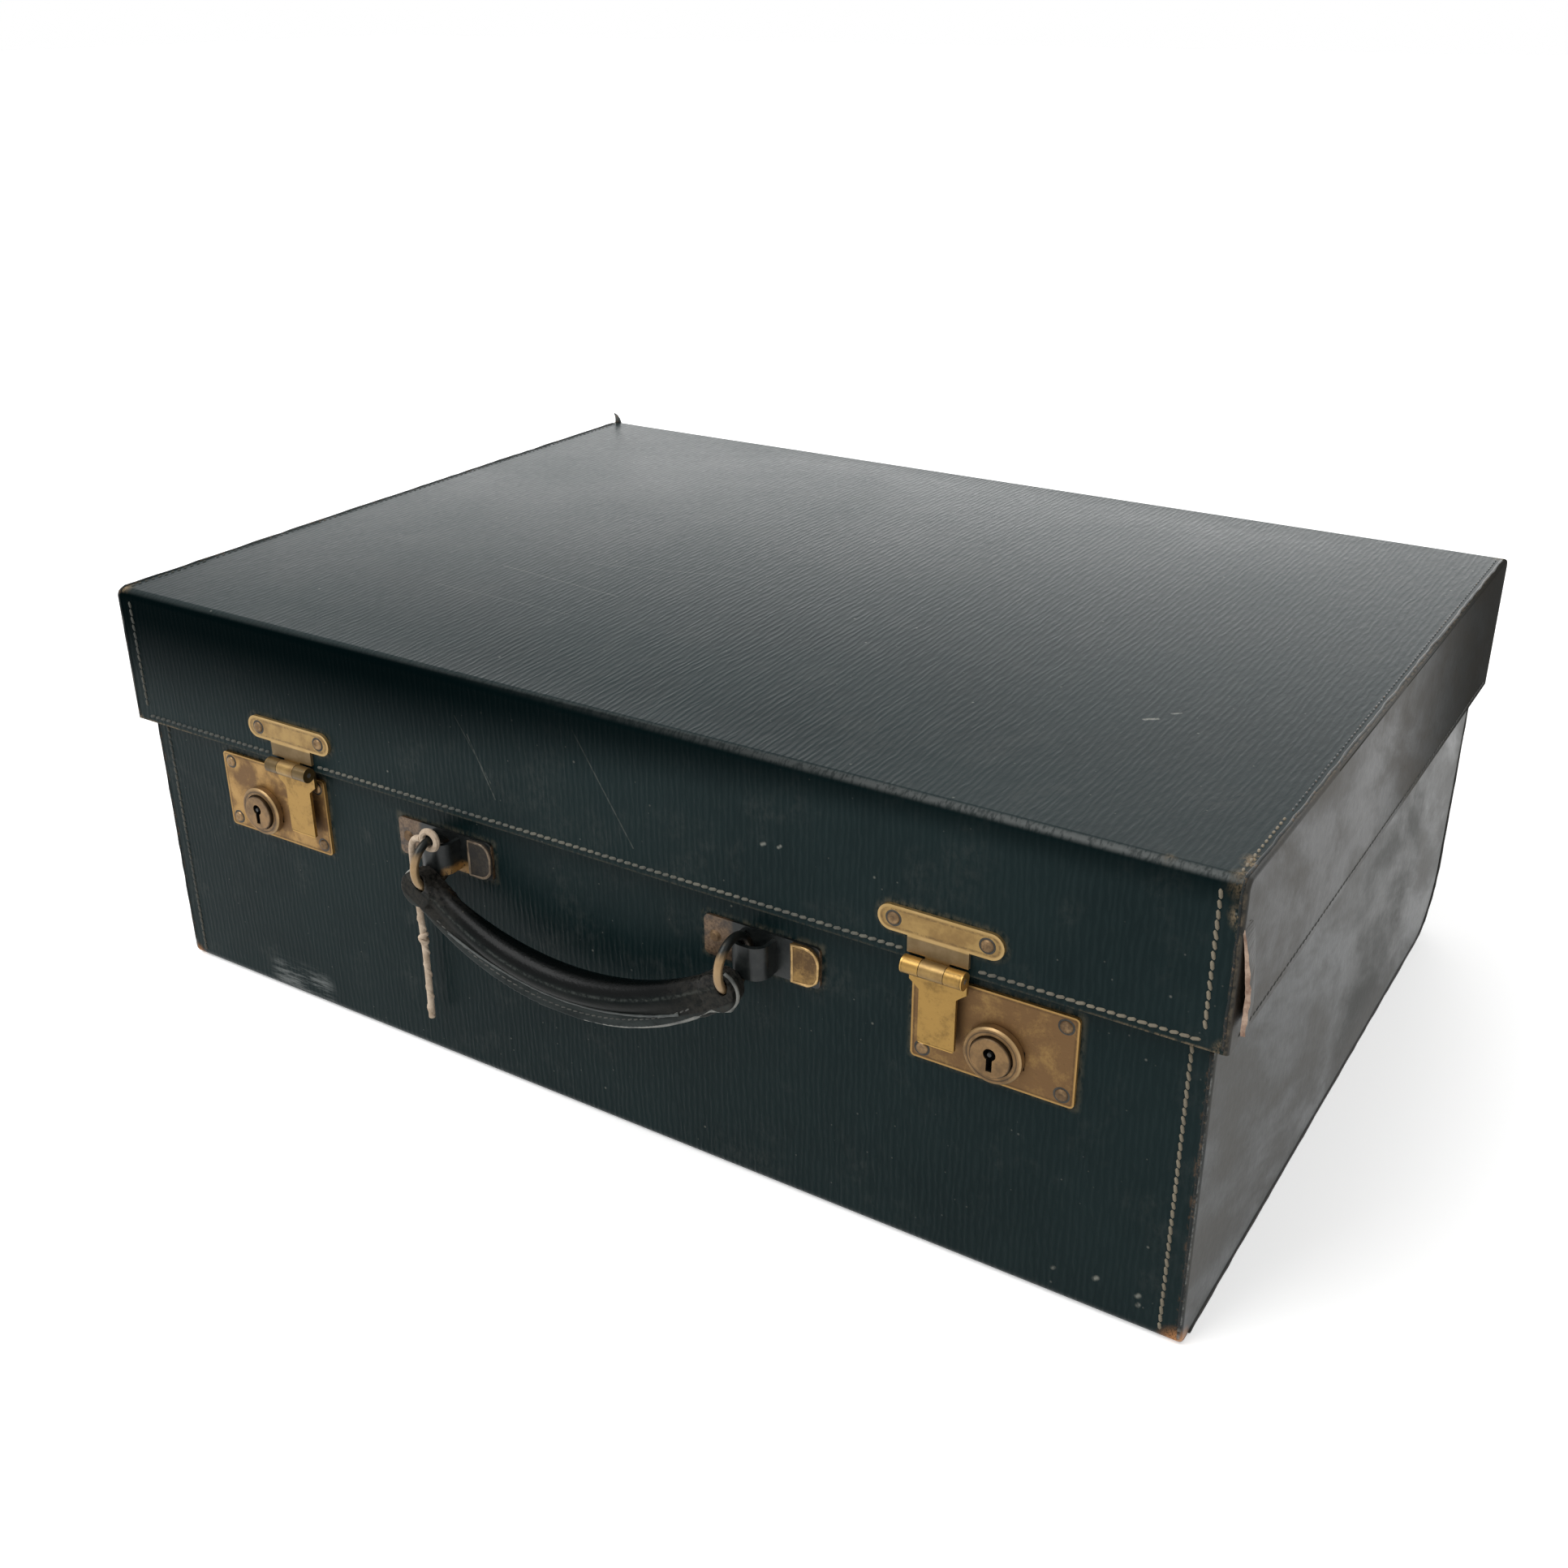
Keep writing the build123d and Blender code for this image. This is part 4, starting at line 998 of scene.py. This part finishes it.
def make_loose_edge():
    """The end leather's front edge, curled away from the lid's right front corner."""
    shape = Shape()
    steps = 24
    rest = lid_half_x / MM
    for index in range(steps + 1):
        share = index / steps
        lift = (3.6 * min(1.0, share * 1.6) ** 0.6 - 1.3) * random.uniform(0.94, 1.04)
        thick = (0.55 + 0.9 * min(1.0, share * 2.0)) * random.uniform(0.8, 1.1)
        back = -155.6 + 14.0 * share ** 0.5
        for across, y in ((rest + lift, -159.6), (rest + lift + thick, -159.3), (rest + 0.15, back),
                          (rest - 0.6, back)):
            shape.verts.append(point(across, y, 151.5 - 33.5 * share))
    shape.skin(0, steps + 1, 4, capped=True)
    flap = new_piece("lid_loose_edge", shape, "lid_end_leather", "lid")
    flap.data.materials.append(looks["raw_edge"])
    for index, face in enumerate(flap.data.polygons):
        face.use_smooth = False
        if index % 4 in (0, 3) and index < steps * 4:
            face.material_index = 1


def make_tuft():
    """A frayed point of leather standing at the lid's left back corner."""
    path = [point(-222.5, 157.5, 164.5), point(-223.4, 158.2, 166.5), point(-224.5, 158.6, 168.0),
            point(-225.9, 158.7, 169.2)]
    girths = [girth * MM for girth in (1.7, 1.3, 0.8, 0.25)]
    tube_piece("lid_corner_tuft", path, girths, "edge_bead", "lid", "case_leather")


# Metal fittings

def islands(node):
    """The boxes of a node's separate closed forms, as lowest and highest corners."""
    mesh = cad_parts[node].data
    parent = list(range(len(mesh.vertices)))

    def root(index):
        while parent[index] != index:
            parent[index] = parent[parent[index]]
            index = parent[index]
        return index

    places = {}
    for index, vertex in enumerate(mesh.vertices):
        key = tuple(round(part, 6) for part in vertex.co)
        parent[index] = places.setdefault(key, index)
    for edge in mesh.edges:
        first, second = (root(index) for index in edge.vertices)
        parent[first] = second
    boxes = {}
    for index, vertex in enumerate(mesh.vertices):
        low, high = boxes.setdefault(root(index), (list(vertex.co), list(vertex.co)))
        for axis in range(3):
            low[axis] = min(low[axis], vertex.co[axis])
            high[axis] = max(high[axis], vertex.co[axis])
    return sorted(boxes.values())


def make_rivets(node, body):
    """Domed heads with a dimple, each in a ring of grime."""
    dome = ((0.0, 0.42), (0.45, 0.44), (0.75, 0.66), (1.15, 0.8), (1.6, 0.68), (1.95, 0.4), (2.1, 0.02))
    grime = ((2.02, 0.07), (2.45, 0.1), (2.75, 0.005))
    around = 24
    for title, look, rows, stands_for in (("heads", "rivet_brass", dome, (node,)),
                                          ("grime", "rivet_dark", grime, ())):
        shape = Shape()
        for low, high in islands(node):
            x, z = (low[0] + high[0]) / 2, (low[2] + high[2]) / 2
            face = low[1] + 0.8 * MM
            first = len(shape.verts)
            for radius, rise in rows:
                for step in range(around):
                    turn = 2.0 * math.pi * step / around
                    shape.verts.append(Vector((x + radius * MM * math.cos(turn), face - rise * MM,
                                               z + radius * MM * math.sin(turn))))
            shape.skin(first, len(rows), around)
        new_piece(f"{node}_{title}", shape, look, body, stands_for)


def make_pad(side, metal):
    """A raised pad at a handle plate's end, round at its outer side, with a rubbed rim."""
    centre_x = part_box(f"handle_plate_{side}")[1][0] / MM - 5.2
    centre_z = 93.5
    face = front_y / MM - 1.0
    half, corner = 7.1, 5.2
    outline = arc(0.0, corner - half, corner, range(-90, 0, 15))
    outline += arc(0.0, half - corner, corner, range(0, 91, 15))
    outline += [(-5.0, half), (-5.0, 0.0), (-5.0, -half)]

    def ring(share, rise):
        return [point(centre_x + across * share, face - rise, centre_z + up * share)
                for across, up in outline]

    rows = ((1.0, 0.0), (1.0, 0.9), (0.93, 1.25), (0.84, 1.3), (0.76, 1.15), (0.0, 1.25))
    shape = Shape()
    for row in rows:
        shape.verts += ring(*row)
    shape.skin(0, len(rows), len(outline))
    new_piece(f"handle_pad_{side}", shape, f"pad_{metal}", "case")
    tube_piece(f"handle_pad_{side}_rim", ring(0.95, 1.05), uneven(outline, 0.45, 0.7), f"pad_rim_{metal}",
               "case", "black_japan", closed=True)


def make_rings():
    """The handle's rings, round in section and a little worn where the grip hangs."""
    for side in sides:
        node = f"handle_ring_{side}"
        low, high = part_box(node)
        middle = Vector([(first + last) / 2 for first, last in zip(low, high)])
        wire = (high[0] - low[0]) / 2
        radius = (high[2] - low[2]) / 2 - wire
        path, girths = [], []
        for step in range(48):
            turn = 2.0 * math.pi * step / 48
            path.append(middle + Vector((0, math.cos(turn), math.sin(turn))) * radius)
            girths.append(wire * (0.98 - 0.07 * max(0.0, -math.sin(turn)) ** 4))
        tube_piece(f"ring_{side}", path, girths, "brass_ring", f"ring_{side}", "black_japan", (node,),
                   sides=14, closed=True)


# The grip, whose flange is an arc that ends in round tabs

def joined_copy(name, *nodes):
    """The nodes' solids run together as one skin and softened."""
    shape = Shape()
    shape.add_nodes(*nodes)
    raw = placed(name, shape.mesh(name))
    fill(raw.modifiers.new("skin", "REMESH"), mode="VOXEL", voxel_size=0.6 * MM)
    fill(raw.modifiers.new("soften", "SMOOTH"), factor=0.5, iterations=1)
    skin = bpy.data.meshes.new_from_object(raw.evaluated_get(bpy.context.evaluated_depsgraph_get()))
    bpy.data.objects.remove(raw)
    return skin


def make_grip():
    """The grip as one softened skin, with its seam, creases and piping."""
    skin = joined_copy("grip_skin", "handle_grip", "handle_flange")
    tree = BVHTree.FromPolygons([vertex.co.copy() for vertex in skin.vertices],
                                [tuple(face.vertices) for face in skin.polygons])
    mesh_piece("grip_skin", skin, "grip_leather", "grip", ("handle_grip", "handle_flange"))
    inwards = Vector((0, 1, 0))

    tab_x, tab_z, tab_radius, flange_y = 64.6, 84.89, 6.6, -171.93
    middle, half, low_z, ends_z = -0.7, 67.0, 55.29, 81.89
    drop = ends_z - low_z
    radius = (half * half + drop * drop) / (2 * drop)
    centre_z = low_z + radius
    path = arc(grip_middle - tab_x, tab_z, tab_radius, range(110, 236, 9))
    tab_steps = len(path)
    for step in range(41):
        across = -61.4 + step * 122.8 / 40
        path.append((middle + across, centre_z - math.sqrt(radius * radius - across * across)))
    path += arc(grip_middle + tab_x, tab_z, tab_radius, range(-52, 75, 9))
    girths = [(1.6 if tab_steps <= index < len(path) - tab_steps else 0.95) * random.uniform(0.93, 1.05) * MM
              for index in range(len(path))]
    tube_piece("grip_piping", [point(x, flange_y, z) for x, z in path], girths, "piping_leather", "grip",
               "piping_leather", ("handle_piping",), sides=10)

    path = []
    for across in range(-50, 51, 2):
        height = grip_centre_z - math.sqrt(crease_radius ** 2 - across * across)
        spot = tree.ray_cast(point(across + grip_middle, before_grip, height), inwards)[0]
        path.append(spot + point(0, -0.15, 0))
    tube_piece("grip_crease", path, uneven(path, 0.35, 0.55), "crease_leather", "grip", "grip_leather")

    shape = Shape()
    count = 44
    inner = radius - 3.0
    for index in range(count):
        angle = math.radians(-35.5 + 71.0 * (index + 0.5) / count)
        x, z = middle + inner * math.sin(angle), centre_z - inner * math.cos(angle)
        spot, normal, _, _ = tree.ray_cast(point(x, before_grip, z), inwards)
        if spot is None:
            continue
        along = Vector((math.cos(angle), 0, math.sin(angle)))
        along = (along - normal * along.dot(normal)).normalized()
        turned = Quaternion(normal, math.radians(random.uniform(5, 14))) @ along
        shape.stitch(spot, turned, normal, 2.0 * MM, 0.55 * MM, 0.25 * MM)
    new_piece("grip_stitches", shape, "thread_grey", "grip")


make_string()
make_stitching()
make_beads()
make_loose_edge()
make_tuft()
for side, metal in zip(sides, ("brown", "brass")):
    make_rivets(f"lock_rivets_{side}", "case")
    make_rivets(f"hasp_rivets_{side}", "lid")
    make_pad(side, metal)
make_rings()
make_grip()


# Floor, backdrop and light

def shown_white(g, lit, white):
    """One strength for rays that are seen, straight or in a reflection, and another for the rest."""
    kinds = ("Is Camera Ray", "Is Glossy Ray", "Is Transmission Ray")
    seen = g.most(*[g.node("ShaderNodeLightPath", {}, kind) for kind in kinds])
    return g.node("ShaderNodeMix", {"Factor": seen, 2: lit, 3: white}, data_type="FLOAT")


def make_floor():
    """A pale floor that runs up to a white surround."""
    reach = 9.0
    shape = Shape()
    shape.verts = [(-reach, -reach, 0), (reach, -reach, 0), (reach, reach, 0), (-reach, reach, 0)]
    shape.faces = [(0, 1, 2, 3)]
    floor = placed("floor", shape.mesh("floor"))
    g = Look("floor")
    g.tone = (0.93, 0.93, 0.925)
    g.finish(0.8, specular_ior_level=0.1)
    away = g.node("ShaderNodeVectorMath", {0: g.place}, "Value", operation="LENGTH")
    seen = g.times(shown_white(g, 0.0, 1.0), g.spread(away, 0.4, 1.3, 0.44, 0.7))
    glow = g.node("ShaderNodeEmission", {"Strength": seen})
    both = g.node("ShaderNodeAddShader", {0: g.tree.nodes["Principled BSDF"].outputs[0], 1: glow})
    g.feed(g.tree.nodes["Material Output"].inputs["Surface"], both)
    dress(floor.data, "floor")


def make_world():
    """An even pale surround, white where it is seen straight or in a reflection."""
    world = bpy.data.worlds.new("world")
    g = Graph(world)
    background = g.tree.nodes["Background"]
    background.inputs["Color"].default_value = (1.0, 1.0, 1.0, 1.0)
    g.feed(background.inputs["Strength"], shown_white(g, 0.5, 1.0))
    bpy.context.scene.world = world


def make_lamp(name, place, target, size, power):
    """A large soft lamp aimed at a point."""
    data = fill(bpy.data.lights.new(name, "AREA"), shape="RECTANGLE", energy=power)
    data.size, data.size_y = size
    turn = (Vector(target) - Vector(place)).to_track_quat("-Z", "Y").to_euler()
    fill(placed(name, data), location=place, rotation_euler=turn, visible_camera=False)


make_floor()
make_world()
make_lamp("key", (-0.6, -0.9, 1.6), (0, 0, 0.08), (1.4, 1.0), 22.0)
make_lamp("back", (0.3, 1.3, 1.5), (0, 0, 0.1), (1.8, 0.8), 8.0)
make_lamp("low_back", (-1.0, 2.6, 0.5), (0, 0, 0.12), (4.2, 0.7), 27.0)
bpy.context.scene.view_settings.view_transform = "Standard"
